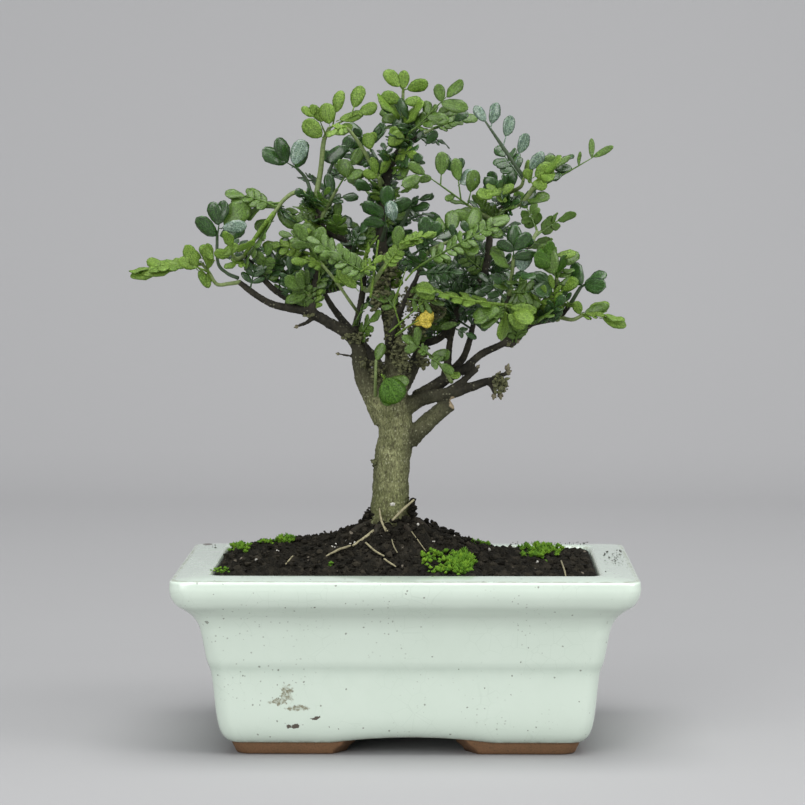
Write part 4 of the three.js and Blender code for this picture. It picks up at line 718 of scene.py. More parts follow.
def oblong(half_length, half_depth, corner, height, arc=10, long_side=24, short_side=18):
    """Rectangles with round corners, one ring of points per row of sizes, anticlockwise from above."""
    sizes = [np.atleast_1d(np.asarray(v, float))[:, None] for v in (half_length, half_depth, corner, height)]
    hl, hd, r, z = np.broadcast_arrays(*sizes)
    xs, ys = [], []
    turns = [(1, -1, -0.5, short_side), (1, 1, 0.0, long_side), (-1, 1, 0.5, short_side), (-1, -1, 1.0, long_side)]
    for k, (sx, sy, start, straight) in enumerate(turns):
        angle = (start + 0.5 * np.linspace(0, 1, arc)) * np.pi
        xs.append(sx * (hl - r) + r * np.cos(angle))
        ys.append(sy * (hd - r) + r * np.sin(angle))
        nx, ny, nstart, _ = turns[(k + 1) % 4]
        share = np.linspace(0, 1, straight + 2)[1:-1]
        x0, y0 = xs[-1][:, -1:], ys[-1][:, -1:]
        x1 = nx * (hl - r) + r * np.cos(nstart * np.pi)
        y1 = ny * (hd - r) + r * np.sin(nstart * np.pi)
        xs.append(x0 + (x1 - x0) * share)
        ys.append(y0 + (y1 - y0) * share)
    x, y = np.concatenate(xs, 1), np.concatenate(ys, 1)
    return np.stack(np.broadcast_arrays(x, y, z), -1)


# Materials

# Tones that the materials mix with those of the settings, in linear light
THIN_GLAZE = (0.51, 0.595, 0.505, 1)
CRACKLE_LINE = (0.3, 0.38, 0.3, 1)
WORN_GLAZE = (0.22, 0.23, 0.17, 1)
GLAZE_STAIN = (0.15, 0.13, 0.065, 1)
RED_CLAY = (0.19, 0.095, 0.043, 1)
DARK_GRIT = (0.05, 0.028, 0.016, 1)
BLACK_PLASTIC = (0.012, 0.013, 0.012, 1)
PLASTIC_DUST = (0.035, 0.032, 0.028, 1)
DRY_SOIL = (0.015, 0.013, 0.009, 1)
SOIL_GRAIN = (0.045, 0.038, 0.026, 1)
PALE_CRUMB = (0.05, 0.043, 0.03, 1)
SAND = (0.3, 0.26, 0.2, 1)
MOSS_FOOT = (0.01, 0.022, 0.005, 1)
MOSS_TIP = (0.19, 0.33, 0.02, 1)
PALE_BARK = (0.26, 0.265, 0.13, 1)
BROWN_TWIG = (0.038, 0.035, 0.024, 1)
UPPER_BARK = (0.075, 0.072, 0.042, 1)
# Painted shade for the left and right sides of the lower trunk
PAINTED_SIDE_SHADE = (0.06, 0.062, 0.028, 1)
GREEN_FOOT = (0.1, 0.115, 0.035, 1)
BARK_PIT = (0.06, 0.06, 0.03, 1)
BARK_RIDGE = (0.4, 0.41, 0.25, 1)
LICHEN_FLECK = (0.38, 0.38, 0.25, 1)
WET_EARTH = (0.022, 0.016, 0.011, 1)
CUT_WOOD = (0.34, 0.27, 0.17, 1)
GREY_STRAW = (0.17, 0.15, 0.085, 1)
DULL_PERLITE = (0.42, 0.4, 0.35, 1)
DARK_LICHEN = (0.035, 0.036, 0.016, 1)
BUD_SCALE = (0.16, 0.15, 0.08, 1)
BUD_TIP = (0.07, 0.05, 0.03, 1)
GREY_PAPER = (0.6, 0.6, 0.6, 1)


class Nodes:
    """Short ways to add and join the nodes of a material or group."""

    def __init__(self, tree):
        self.tree = tree

    def add(self, kind, inputs=None, **settings):
        """Adds a node, sets its properties, and sets or links its inputs."""
        node = self.tree.nodes.new(kind)
        for key, value in settings.items():
            setattr(node, key, value)
        self.fill(node, inputs or {})
        return node

    def fill(self, node, inputs):
        """Links a node's inputs to sockets, and sets those that are given as plain values."""
        for key, value in inputs.items():
            if isinstance(value, bpy.types.NodeSocket):
                self.tree.links.new(value, node.inputs[key])
            else:
                node.inputs[key].default_value = value

    def mix(self, factor, a, b):
        """Colour a turned into b by factor."""
        return self.add("ShaderNodeMix", {0: factor, 6: a, 7: b}, data_type="RGBA").outputs[2]

    def math(self, kind, a, b=0.0, clamp=False):
        """One arithmetic step."""
        return self.add("ShaderNodeMath", {0: a, 1: b}, operation=kind, use_clamp=clamp).outputs[0]

    def times(self, a, b, clamp=False):
        """The product of two values."""
        return self.math("MULTIPLY", a, b, clamp)

    def tinge(self, base, mask, share, tone):
        """A colour turned toward a tone by a share of a mask."""
        return self.mix(self.times(mask, share), base, tone)

    def ramp(self, value, low, high, start=0.0, end=1.0, smooth=True):
        """Value from low to high becomes start to end."""
        kind = "SMOOTHSTEP" if smooth else "LINEAR"
        inputs = {0: value, 1: low, 2: high, 3: start, 4: end}
        return self.add("ShaderNodeMapRange", inputs, interpolation_type=kind).outputs[0]

    def noise(self, at, scale, detail=3.0, rough=0.5):
        """Soft noise from 0 to 1."""
        inputs = {"Vector": at, "Scale": scale, "Detail": detail, "Roughness": rough}
        return self.add("ShaderNodeTexNoise", inputs).outputs[0]

    def cell_borders(self, at, scale):
        """How far a point is from the nearest border of a cell pattern."""
        node = self.add("ShaderNodeTexVoronoi", {"Vector": at, "Scale": scale}, feature="DISTANCE_TO_EDGE")
        return node.outputs["Distance"]

    def group(self, tree, **inputs):
        """A group node with its inputs set by label, underscores for spaces."""
        inputs = {key.replace("_", " "): value for key, value in inputs.items()}
        return self.add("ShaderNodeGroup", inputs, node_tree=tree)

    def patches(self, scale):
        """The mask of soft patches."""
        return self.group(patches_group(), Scale=scale).outputs[0]

    def speckles(self, scale, share, size):
        """The mask of sparse spots."""
        return self.group(speckle_group(), Scale=scale, Share=share, Size=size).outputs[0]

    def attribute(self, name):
        """A value kept on the mesh's points."""
        return self.add("ShaderNodeAttribute", attribute_name=name).outputs["Fac"]

    def here(self, stretch=None):
        """Object coordinates, or the same stretched."""
        spot = self.add("ShaderNodeTexCoord").outputs["Object"]
        if stretch is None:
            return spot
        return self.add("ShaderNodeMapping", {"Vector": spot, "Scale": stretch}).outputs[0]

    def bump(self, height, strength, distance):
        """A normal from a height in metres times distance."""
        node = self.add("ShaderNodeBump", {"Height": height, "Strength": strength, "Distance": distance})
        return node.outputs[0]


def group(name, inputs, outputs, build):
    """A node group made once: build gets the nodes and the group's input sockets and gives the outputs' sockets."""
    tree = bpy.data.node_groups.get(name)
    if tree is None:
        tree = bpy.data.node_groups.new(name, "ShaderNodeTree")
        for label, kind, default in inputs:
            socket = tree.interface.new_socket(name=label, in_out="INPUT", socket_type=kind)
            socket.default_value = default
        for label, kind in outputs:
            tree.interface.new_socket(name=label, in_out="OUTPUT", socket_type=kind)
        nodes = Nodes(tree)
        entry = nodes.add("NodeGroupInput")
        made = build(nodes, entry.outputs)
        nodes.add("NodeGroupOutput", dict(enumerate(made)))
    return tree


def speckle_group():
    """Sparse spots: the middle of some cells of a cell pattern, chosen by the cell's own random value."""
    def build(n, given):
        here = n.here()
        warp = n.noise(here, 900.0)
        cell = n.add("ShaderNodeTexVoronoi", {"Vector": here, "Scale": given["Scale"]})
        red = n.add("ShaderNodeSeparateColor", {0: cell.outputs["Color"]}).outputs[0]
        chosen = n.math("LESS_THAN", red, given["Share"])
        reach = n.times(given["Size"], n.ramp(warp, 0.2, 0.8, 0.4, 1.5))
        spot = n.math("LESS_THAN", cell.outputs["Distance"], reach)
        return [n.times(spot, chosen)]
    return group("Speckles", [("Scale", "NodeSocketFloat", 200.0), ("Share", "NodeSocketFloat", 0.1),
                              ("Size", "NodeSocketFloat", 0.2)], [("Mask", "NodeSocketFloat")], build)


def patches_group():
    """Soft patches of two sizes of noise laid over each other."""
    def build(n, given):
        here = n.here()
        wide = n.noise(here, given["Scale"])
        fine = n.noise(here, n.times(given["Scale"], 4.3))
        both = n.math("ADD", n.times(wide, 0.65), n.times(fine, 0.35))
        return [n.ramp(both, 0.35, 0.65)]
    return group("Patches", [("Scale", "NodeSocketFloat", 60.0)], [("Mask", "NodeSocketFloat")], build)


def principled(name):
    """A new material with its Nodes helper and its shader."""
    material = bpy.data.materials.new(name)
    material.use_nodes = True
    nodes = Nodes(material.node_tree)
    shader = next(n for n in material.node_tree.nodes if n.type == "BSDF_PRINCIPLED")
    return material, nodes, shader


def connect(nodes, shader, **inputs):
    """Links sockets and sets constants on the shader's own inputs by label, underscores for spaces."""
    nodes.fill(shader, {key.replace("_", " "): value for key, value in inputs.items()})


def darker(colour, share):
    """A colour at a share of its brightness."""
    return (*(share * c for c in colour[:3]), 1)


def glaze_material(values):
    """Pale glaze: deeper green where it pools, a fine crackle, iron specks, stained flaws and a worn rim."""
    material, n, shader = principled("Celadon glaze")
    here = n.here()
    uneven = n.patches(38.0)
    base = n.tinge(tuple(values.glaze), uneven, 0.22, THIN_GLAZE)
    pooled = n.times(n.attribute("pool"), n.ramp(n.noise(here, 160.0), 0.2, 0.8, 0.65, 1.15))
    base = n.mix(n.times(pooled, 0.55, clamp=True), base, tuple(values.pooled))
    crack = n.ramp(n.cell_borders(here, 1 / values.crackle), 0.0, 0.028, 1.0, 0.0)
    broken = n.ramp(n.noise(here, 45.0), 0.42, 0.62)
    base = n.tinge(base, n.times(crack, broken), 0.16, CRACKLE_LINE)
    specks = n.speckles(260.0, 0.26, 0.12)
    spots = n.speckles(90.0, 0.13, 0.08)
    dust = n.speckles(560.0, 0.3, 0.2)
    dust = n.times(dust, n.ramp(n.noise(here, 26.0, 3.0), 0.5, 0.66, 0.0, 0.7))
    rust = n.math("MAXIMUM", n.math("MAXIMUM", specks, spots), dust)
    ragged = n.ramp(n.noise(here, 620.0, 5.0), 0.3, 0.7, -0.22, 0.22)
    flaw = n.ramp(n.math("ADD", n.attribute("flaw"), ragged), 0.42, 0.62)
    chip = n.ramp(n.math("ADD", n.attribute("chip"), ragged), 0.45, 0.6)
    worn = n.times(n.attribute("wear"), n.ramp(n.noise(here, 260.0, 4.0), 0.34, 0.6))
    base = n.tinge(base, worn, 0.8, WORN_GLAZE)
    stained = n.times(flaw, n.ramp(n.noise(here, 800.0, 4.0), 0.35, 0.62, 0.25, 0.9))
    base = n.mix(stained, base, GLAZE_STAIN)
    base = n.mix(n.math("MAXIMUM", chip, n.times(rust, 0.58)), base, tuple(values.speck))
    rough = n.math("MAXIMUM", n.math("MAXIMUM", flaw, chip), n.math("MAXIMUM", worn, n.times(uneven, 0.25)))
    rough = n.ramp(rough, 0, 1, 0.14, 0.6)
    height = n.math("ADD", n.times(n.noise(here, 70.0, 2.0), 0.6), n.times(chip, -0.5))
    connect(n, shader, Base_Color=base, Roughness=rough, Normal=n.bump(height, 0.35, 0.0006),
            Coat_Weight=0.5, Coat_Roughness=0.06, IOR=1.5)
    return material


def clay_material(values):
    """Bare brown stoneware, gritty and stained."""
    material, n, shader = principled("Bare clay")
    stain = n.patches(110.0)
    grit = n.noise(n.here(), 1500.0, 4.0)
    base = n.mix(stain, tuple(values.clay), RED_CLAY)
    base = n.mix(n.ramp(grit, 0.45, 0.75, 0.0, 0.5), base, DARK_GRIT)
    connect(n, shader, Base_Color=base, Normal=n.bump(grit, 0.5, 0.0004), Roughness=0.75)
    return material


def screen_material():
    """Matt black plastic with a little dust."""
    material, n, shader = principled("Black plastic mesh")
    dust = n.patches(300.0)
    connect(n, shader, Base_Color=n.mix(dust, BLACK_PLASTIC, PLASTIC_DUST), Roughness=0.6)
    return material


def soil_material(values):
    """Dark moist crumbs, browner and drier in places."""
    material, n, shader = principled("Soil")
    here = n.here()
    dry = n.patches(120.0)
    grain = n.noise(here, 1400.0, 5.0, 0.65)
    base = n.tinge(tuple(values.soil), dry, 0.5, DRY_SOIL)
    base = n.mix(n.ramp(grain, 0.5, 0.76, 0.0, 0.65), base, SOIL_GRAIN)
    base = n.tinge(base, n.attribute("tint"), 0.6, PALE_CRUMB)
    light = n.speckles(420.0, 0.02, 0.3)
    base = n.tinge(base, light, 0.5, SAND)
    connect(n, shader, Base_Color=base, Normal=n.bump(grain, 0.8, 0.0012),
            Roughness=n.ramp(dry, 0, 1, 0.7, 0.95),
            Specular_IOR_Level=0.12)
    return material


def plain_grain_material(name, colour, other, scale, roughness):
    """A dry natural surface: two near tones in grains."""
    material, n, shader = principled(name)
    grain = n.noise(n.here(), scale, 4.0, 0.6)
    base = n.mix(n.ramp(grain, 0.35, 0.7), tuple(colour), other)
    base = n.tinge(base, n.attribute("tint"), 0.4, darker(other, 0.5))
    connect(n, shader, Base_Color=base, Normal=n.bump(grain, 0.5, 0.0003), Roughness=roughness)
    return material


def moss_material(values):
    """Fresh moss, darker at its foot and yellower at its tips."""
    material, n, shader = principled("Moss")
    up = n.attribute("up")
    base = n.mix(n.ramp(up, 0.0, 0.8), MOSS_FOOT, tuple(values.moss))
    base = n.tinge(base, n.attribute("tint"), 0.6, MOSS_TIP)
    connect(n, shader, Base_Color=base, Roughness=0.7, Specular_IOR_Level=0.2)
    return material


def bark_material(values):
    """Bark: olive grey with dark upright fissures and pale lichen flecks on the trunk, browner on thin wood."""
    material, n, shader = principled("Bark")
    here = n.here()
    upright = n.here((1.0, 1.0, 0.42))
    stout = n.attribute("stout")
    cracks = n.noise(upright, 950.0, 4.0, 0.65)
    patches = n.patches(130.0)
    old = n.tinge(tuple(values.bark), patches, 0.75, PALE_BARK)
    young = n.mix(patches, tuple(values.twig), BROWN_TWIG)
    high = n.add("ShaderNodeSeparateXYZ", {0: here}).outputs[2]
    ragged = n.math("ADD", high, n.ramp(n.noise(here, 110.0), 0.3, 0.7, -0.006, 0.006))
    old = n.mix(n.ramp(ragged, 0.148, 0.168, 0.0, 0.72), old, UPPER_BARK)
    # Painted shade: the lower trunk darkens toward its left and right sides, where it turns away from the light
    off = n.math("ABSOLUTE", n.math("SUBTRACT", n.add("ShaderNodeSeparateXYZ", {0: here}).outputs[0], TRUNK_X))
    low = n.ramp(high, 0.14, 0.15, 1.0, 0.0)
    old = n.mix(n.times(n.ramp(off, 0.003, 0.0095, 0.0, 0.85), low), old, PAINTED_SIDE_SHADE)
    old = n.mix(n.ramp(high, 0.108, 0.128, 0.45, 0.0), old, GREEN_FOOT)
    pits = n.noise(upright, 2100.0, 3.0)
    old = n.mix(n.ramp(pits, 0.34, 0.47, 0.75, 0.0), old, BARK_PIT)
    old = n.mix(n.ramp(pits, 0.55, 0.7, 0.0, 0.55), old, BARK_RIDGE)
    base = n.mix(stout, young, old)
    base = n.mix(n.ramp(cracks, 0.34, 0.47, 0.7, 0.0), base, tuple(values.fissure))
    base = n.tinge(base, n.attribute("fissure"), 0.6, tuple(values.fissure))
    flecks = n.speckles(720.0, 0.2, 0.3)
    flecks = n.times(flecks, n.ramp(stout, 0.0, 1.0, 0.25, 0.42))
    base = n.mix(flecks, base, LICHEN_FLECK)
    soiled = n.times(n.attribute("soiled"), n.ramp(n.noise(here, 420.0, 4.0), 0.35, 0.6))
    base = n.mix(soiled, base, WET_EARTH)
    base = n.mix(n.attribute("cut"), base, CUT_WOOD)
    connect(n, shader, Base_Color=base, Normal=n.bump(cracks, 0.7, 0.0007),
            Roughness=n.ramp(cracks, 0.3, 0.7, 0.92, 0.74), Specular_IOR_Level=0.2)
    return material


def vein_group():
    """Leaflet markings from its own UVs: a midrib line and side veins that run out and forward from it."""
    def build(n, _given):
        uv = n.add("ShaderNodeUVMap", uv_map="UVMap").outputs[0]
        parts = n.add("ShaderNodeSeparateXYZ", {0: uv})
        off = n.math("ABSOLUTE", n.math("SUBTRACT", parts.outputs[1], 0.5))
        rib = n.ramp(off, 0.0, 0.045, 1.0, 0.0)
        sweep = n.math("SUBTRACT", n.times(parts.outputs[0], 9.0), n.times(off, 5.0))
        side = n.math("PINGPONG", sweep, 0.5)
        veins = n.times(n.ramp(side, 0.0, 0.1, 1.0, 0.0), n.ramp(off, 0.3, 0.48, 1.0, 0.0))
        edge = n.ramp(off, 0.4, 0.5)
        return [rib, veins, edge]
    return group("Leaflet veins", [], [("Midrib", "NodeSocketFloat"), ("Side veins", "NodeSocketFloat"),
                                       ("Edge", "NodeSocketFloat")], build)


def leaf_material(name, colour, fresh, roughness, gloss):
    """Leaf: its tone varied by leaflet, in patches and in fine dots, paler midrib and underside, and a wax coat."""
    material, n, shader = principled(name)
    veins = n.group(vein_group())
    patches = n.patches(170.0)
    base = n.tinge(tuple(colour), n.attribute("tint"), 0.75, fresh)
    base = n.tinge(base, patches, 0.35, darker(colour, 0.6))
    pale = tuple(1.15 * c + 0.012 for c in fresh[:3]) + (1,)
    dots = n.noise(n.here(), 1500.0, 3.0)
    base = n.mix(n.ramp(dots, 0.32, 0.5, 0.8, 0.0), base, darker(colour, 0.45))
    base = n.mix(n.ramp(dots, 0.52, 0.68, 0.0, 0.85), base, pale)
    leafy = n.attribute("leafy")
    base = n.tinge(base, n.times(veins.outputs[0], leafy), 0.55, pale)
    base = n.tinge(base, n.times(veins.outputs[1], leafy), 0.18, pale)
    base = n.tinge(base, n.attribute("under"), 0.35, pale)
    rim = n.times(veins.outputs[2], leafy)
    base = n.tinge(base, rim, 0.45, darker(colour, 0.35))
    height = n.math("SUBTRACT", n.times(veins.outputs[1], -0.5), veins.outputs[0])
    rough = n.ramp(n.math("ADD", n.attribute("under"), n.times(patches, 0.4)), 0, 1.4, roughness, 0.6)
    connect(n, shader, Base_Color=base, Roughness=rough,
            Normal=n.bump(n.times(height, leafy), 0.3, 0.00025),
            Specular_IOR_Level=0.25, Coat_Weight=gloss, Coat_Roughness=0.2, Subsurface_Weight=0.12,
            Subsurface_Radius=(0.0012, 0.002, 0.0004), Subsurface_Scale=1.0)
    return material


# Pot


def glazed_body():
    """The outline's smooth curve gives the half length at each height; every ring is that oblong. The rings run up
    the outside, over the rim and down the inside, and a fan of triangles closes each end. Between the feet the
    lower edge rises in an arch, a parabola along the pot that fades with height."""
    outline = np.array(POT_OUTLINE, float)
    height, half, pool = through(outline, np.linspace(0, 1, 6 * len(outline))).T
    shrink = OUTSIDE_CORNER - CORNER_SHRINK * (FLARE_HALF - half)
    outside = np.vstack([RECESS, np.stack([half, half - RIM_INSET, shrink, height, pool], 1)])
    inside = through(RIM_AND_INSIDE, np.linspace(0, 1, 6 * len(RIM_AND_INSIDE)))
    rows = np.vstack([outside, inside])
    rings = oblong(*rows[:, :4].T, long_side=48)
    count, around = rings.shape[:2]
    on_outside = np.arange(count)[:, None] < len(outside)
    arch = ARCH_RISE * np.clip(1 - ((rings[..., 0] - ARCH_MIDDLE) / ARCH_HALF) ** 2, 0, 1)
    arch *= (np.abs(rings[..., 1]) > 40) * on_outside
    rings[..., 2] += arch * np.clip((ARCH_TOP - rings[..., 2]) / (ARCH_TOP - POT_OUTLINE[0][0]), 0, 1)

    def band(measure, middle, width):
        return np.exp(-((measure - middle) / width) ** 2)

    wear = band(rows[:, 3], *RIM_WEAR) * (rows[:, 0] > 101)
    wear += band(rows[:, 0], *MOUTH_WEAR) * (rows[:, 3] > 78.9)
    wear += 0.8 * band(rows[:, 3], *LOWER_WEAR)
    facing = (rings[..., 1] < 0) & on_outside
    flaw = near_seen(rings, FLAWS) * facing
    chip = near_seen(rings, CHIPS) * (facing | (rings[..., 1] > 60))
    parts = Parts()
    parts.add(rings, closed_faces(count, around), pool=np.repeat(rows[:, 4], around),
              wear=np.repeat(np.clip(wear, 0, 1), around), flaw=flaw.ravel(), chip=chip.ravel())
    return parts


def pierce(body):
    """Cuts the two drain holes out of the floor: upright cylinders 16 mm across."""
    for x in (-DRAIN_X, DRAIN_X):
        angle = 2 * np.pi * np.arange(DRILL_SIDES) / DRILL_SIDES
        drill = Parts()
        ring = np.stack([x + DRAIN_RADIUS * np.cos(angle), DRAIN_RADIUS * np.sin(angle), angle * 0], 1)
        points = ring[None] + np.array([0, 0, 1]) * np.array(DRILL_ENDS)[:, None, None]
        drill.add(points, closed_faces(2, DRILL_SIDES))
        tool = drill.piece("drill", [])
        apply(body, "BOOLEAN", object=tool, operation="DIFFERENCE", solver="EXACT")
        bpy.data.objects.remove(tool)


def feet_parts():
    """Four corner feet: one section carried round the foot's oblong. Its lower edge rises in a cloud shaped curve
    where a foot ends, and the pot's own curve gives its outer face."""
    rings = oblong(*np.transpose(FOOT_OUTLINES), [0, 0, 0], **FOOT_FINENESS)
    low_ring, high_ring, inner_ring = np.roll(rings, FOOT_FINENESS["long_side"] // 2, axis=1)
    x, y = np.abs(low_ring[:, 0]), np.abs(low_ring[:, 1])
    rise_long = np.interp(x, CLOUD_LONG, CLOUD_HEIGHTS)
    rise_short = np.interp(y, CLOUD_SHORT, CLOUD_HEIGHTS)
    rise = np.where(y > 49.5, rise_long, np.where(x > 76, rise_short, POT_BASE))
    parts = Parts()
    foot = rise < 6.2
    edges = np.flatnonzero(np.diff(foot.astype(int)))
    for start, stop in edges.reshape(-1, 2):
        run = slice(start, stop + 2)
        z = rise[run, None] + (FOOT_HEIGHTS[-1] - rise[run, None]) * FOOT_SHARE
        half = np.interp(z, FOOT_HEIGHTS, FOOT_HALVES) - FOOT_TUCK
        blend = (half - FOOT_HALVES[0]) / FOOT_GROWTH
        outer = low_ring[run, None] + (high_ring - low_ring)[run, None] * blend[..., None]
        inner = inner_ring[run, None] * (1 + FOOT_LEDGE[None, :, None] / 80)
        points = np.where((np.arange(len(FOOT_SHARE)) < FOOT_OUTER_POINTS)[None, :, None], outer, inner)
        points[..., 2] = z
        parts.add(points, closed_faces(*points.shape[:2]))
    return parts


# Soil, crumbs, straws and moss


def soil_parts():
    """Oblong rings shrink from the pot's wall to the middle, each point at the soil's height plus crumbs, which are
    three sizes of noise; the skirt below follows the pot's inside down to its floor."""
    share = np.linspace(1, 0.004, SOIL_RINGS)
    top = oblong(*SOIL_TOP, 8, SOIL_EDGE_Z, **SOIL_FINENESS)[0]
    rings = top[None] * share[:, None, None]
    flat = rings[..., :2]
    place3 = np.concatenate([flat, np.zeros(flat.shape[:-1] + (1,))], -1)
    crumbs = sum(height * lattice(place3 * scale, seed) for height, scale, seed in SOIL_CRUMBS)
    rings[..., 2] = soil_height(flat[..., 0], flat[..., 1]) + crumbs * np.clip((1 - share) * 30, 0.25, 1)[:, None]
    lengths, depths, heights = zip(*SOIL_SKIRT)
    wall = oblong(lengths, depths, 8, heights, **SOIL_FINENESS)
    rings = np.concatenate([wall, rings])
    rows, columns = rings.shape[:2]
    parts = Parts()
    tint_values = np.clip(lattice(np.concatenate([flat * 0.5, place3[..., 2:]], -1), 9), 0, 1)
    tint_values = np.concatenate([np.zeros((len(wall), columns)), tint_values]).ravel()
    parts.add(rings, closed_faces(rows, columns), tint=tint_values)
    return parts


BALL = np.array([(0, 0, 1), (0.894, 0, 0.447), (0.276, 0.851, 0.447), (-0.724, 0.526, 0.447), (-0.724, -0.526, 0.447),
                 (0.276, -0.851, 0.447), (0.724, 0.526, -0.447), (-0.276, 0.851, -0.447), (-0.894, 0, -0.447),
                 (-0.276, -0.851, -0.447), (0.724, -0.526, -0.447), (0, 0, -1)])
BALL_FACES = np.array([(0, 1, 2), (0, 2, 3), (0, 3, 4), (0, 4, 5), (0, 5, 1), (1, 6, 2), (2, 7, 3), (3, 8, 4),
                       (4, 9, 5), (5, 10, 1), (2, 6, 7), (3, 7, 8), (4, 8, 9), (5, 9, 10), (1, 10, 6), (11, 7, 6),
                       (11, 8, 7), (11, 9, 8), (11, 10, 9), (11, 6, 10)])


def add_lumps(parts, rng, middles, sizes, squash=0.8, **values):
    """Twenty sided lumps: every corner of each pushed in or out at random, then scaled and set at its place."""
    count = len(middles)
    radius = sizes[:, None, None] * rng.uniform(0.6, 1.25, (count, len(BALL), 1))
    stretch = rng.uniform(0.75, 1.25, (count, 1, 3)) * np.array([1, 1, squash])
    points = middles[:, None] + BALL[None] * radius * stretch
    faces = BALL_FACES[None] + np.arange(count)[:, None, None] * len(BALL)
    faces = faces.reshape(-1, 3)
    values = {key: np.repeat(v, len(BALL)) for key, v in values.items()}
    parts.add(points, faces[:, [0, 1, 2, 2]], **values)


def add_heaps(parts, rng, heaps, depth_reach, small, large, fade):
    """Lumps in normal scatter about the middle of each heap, their tint a random share to the power fade."""
    for x, z, half_width, half_height, depth, count in heaps:
        spread = np.clip(rng.normal(0, 0.5, (count, 3)), -1.1, 1.1)
        middles = place(np.array([x, depth, z]) + spread * np.array([half_width, depth_reach, half_height]))
        add_lumps(parts, rng, middles, rng.uniform(small, large, count), tint=rng.random(count) ** fade)


# Loose crumbs along and across the pot: how far out they lie, the share of them that is spread evenly, and the
# middle and spread of the others
CRUMB_SPREAD = [(84, 0.6, -12, 26), (57, 0.7, 0, 22)]


def scatter(rng, count):
    """Random places on the soil, thicker toward the mound."""
    spots = []
    for far, even, middle, spread in CRUMB_SPREAD:
        spot = np.where(rng.random(count) < even, rng.uniform(-far, far, count), rng.normal(middle, spread, count))
        spots.append(np.clip(spot, -far, far))
    return np.stack([*spots, soil_height(*spots)], 1)


# Heaps of crumbs as seen from the front: middle x and z, half width and half height, depth, number
CLODS = [
    (-18.3, 99, 2.2, 5, -2, 50), (2.4, 102.6, 1.7, 7, -3, 70), (9.4, 95.8, 4.4, 2.8, 2, 60),
    (18, 92.4, 5, 1.9, 4, 44), (26, 89.4, 6, 1.2, 4, 30), (-30, 92.2, 8, 1.6, 2, 40),
    (-45, 89.4, 9, 1.2, 3, 36), (-4, 98, 8, 2.4, -9, 40), (-17, 95, 6, 3, -8, 40),
]
# Crumbs round the trunk's foot: their middle, number, and nearest and farthest reach
FOOT_HEAP = (-8, 150, 9, 17)
# The rim's flat top: its height, and half length and half depth of its outer and inner edge
RIM_FLAT = 80.6
RIM_OUTER = (102, 75)
RIM_INNER = (88, 61)
# Crumbs spilled on the rim as seen from the front: middle x and z, half width and half height, number
SPILLED = [(97, 82, 6, 3.4, 60), (66, 88.4, 20, 1, 70), (-91, 86.4, 5, 1.4, 6), (70, 75.6, 26, 0.8, 8)]


def crumb_parts(values):
    """Loose crumbs over the soil, and crumbs in normal scatter about the middle of each heap."""
    rng = np.random.default_rng(11)
    parts = Parts()
    middles = scatter(rng, values.crumb_count)
    sizes = values.crumb * 0.5 * rng.lognormal(0, 0.42, len(middles))
    middles[:, 2] += 0.3 * sizes
    add_lumps(parts, rng, middles, np.clip(sizes, 0.3, 2.2), tint=rng.random(len(middles)) ** 3)
    middle, count, near, far = FOOT_HEAP
    angle = rng.uniform(0, 2 * np.pi, count)
    reach = rng.uniform(near, far, count)
    foot = np.stack([middle + reach * np.cos(angle), reach * np.sin(angle), angle * 0], 1)
    foot[:, 2] = soil_height(foot[:, 0], foot[:, 1]) + rng.uniform(0.2, 2.6, count) * (far - reach) / (far - near)
    add_lumps(parts, rng, foot, rng.uniform(0.7, 1.9, count), tint=rng.random(count) ** 3)
    add_heaps(parts, rng, CLODS, depth_reach=4, small=0.7, large=1.6, fade=3)
    for x, z, half_width, half_height, count in SPILLED:
        seen = np.array([x, z]) + rng.uniform(-1, 1, (count, 2)) * np.array([half_width, half_height])
        sight = np.column_stack([seen[:, 0], seen[:, 0] * 0, seen[:, 1]]) - EYE
        middles = EYE + sight * ((RIM_FLAT - EYE[2]) / sight[:, 2:])
        off = np.abs(middles[:, :2])
        on_rim = (off < RIM_OUTER).all(1) & (off > RIM_INNER).any(1)
        sizes = rng.uniform(0.12, 0.42, count)[on_rim]
        add_lumps(parts, rng, middles[on_rim], sizes, tint=rng.random(len(sizes)))
    return parts


# White grains as seen from the front: x and z
GRAINS = [
    (-7.8, 107.6), (-6, 105.4), (-5.4, 107.4), (-28.5, 88.2), (-26.3, 87.4), (-24.4, 87.9), (-34.8, 86.2),
    (-33.5, 85.8), (-32.2, 86), (-6.4, 103), (-18, 93), (12, 88.5), (-60, 84), (38, 84.6), (60, 79), (-33, 87),
    (22, 91), (-70, 80), (0.5, 99.5), (-12, 91),
]
# Two large grains at the trunk's foot: x, y, z and size
LARGE_GRAINS = [(-6.9, -12.5, 106.2, 1.7), (5, -9, 96.8, 0.9)]
# Dry straws and fine rootlets as seen from the front: x, z and radius of their points
STRAWS = [
    [(-15.6, 94, 0.6), (-20.4, 90.2, 0.7), (-25.3, 87, 0.5)],
    [(-26.2, 86.9, 0.5), (-29.5, 85.9, 0.6), (-33.1, 84.4, 0.6), (-37.7, 82, 0.4)],
    [(-19.3, 88.4, 0.45), (-15, 84.6, 0.5), (-11, 82.3, 0.4)],
    [(-11, 81, 0.4), (-8, 79, 0.45), (-5.5, 77.4, 0.3)], [(71.2, 80, 0.4), (72.4, 76, 0.4), (73, 72.8, 0.3)],
    [(-12.4, 99.6, 0.45), (-10.6, 96, 0.5), (-9.2, 93.8, 0.3)],
    [(-56.4, 78.4, 0.3), (-54.6, 80.4, 0.35), (-53, 82.2, 0.25)],
    [(-7.2, 90, 0.25), (-6.4, 87, 0.3), (-4.8, 84, 0.25)],
    [(-2.4, 99.6, 0.22), (3, 92.2, 0.26), (8.6, 84.4, 0.2)],
]
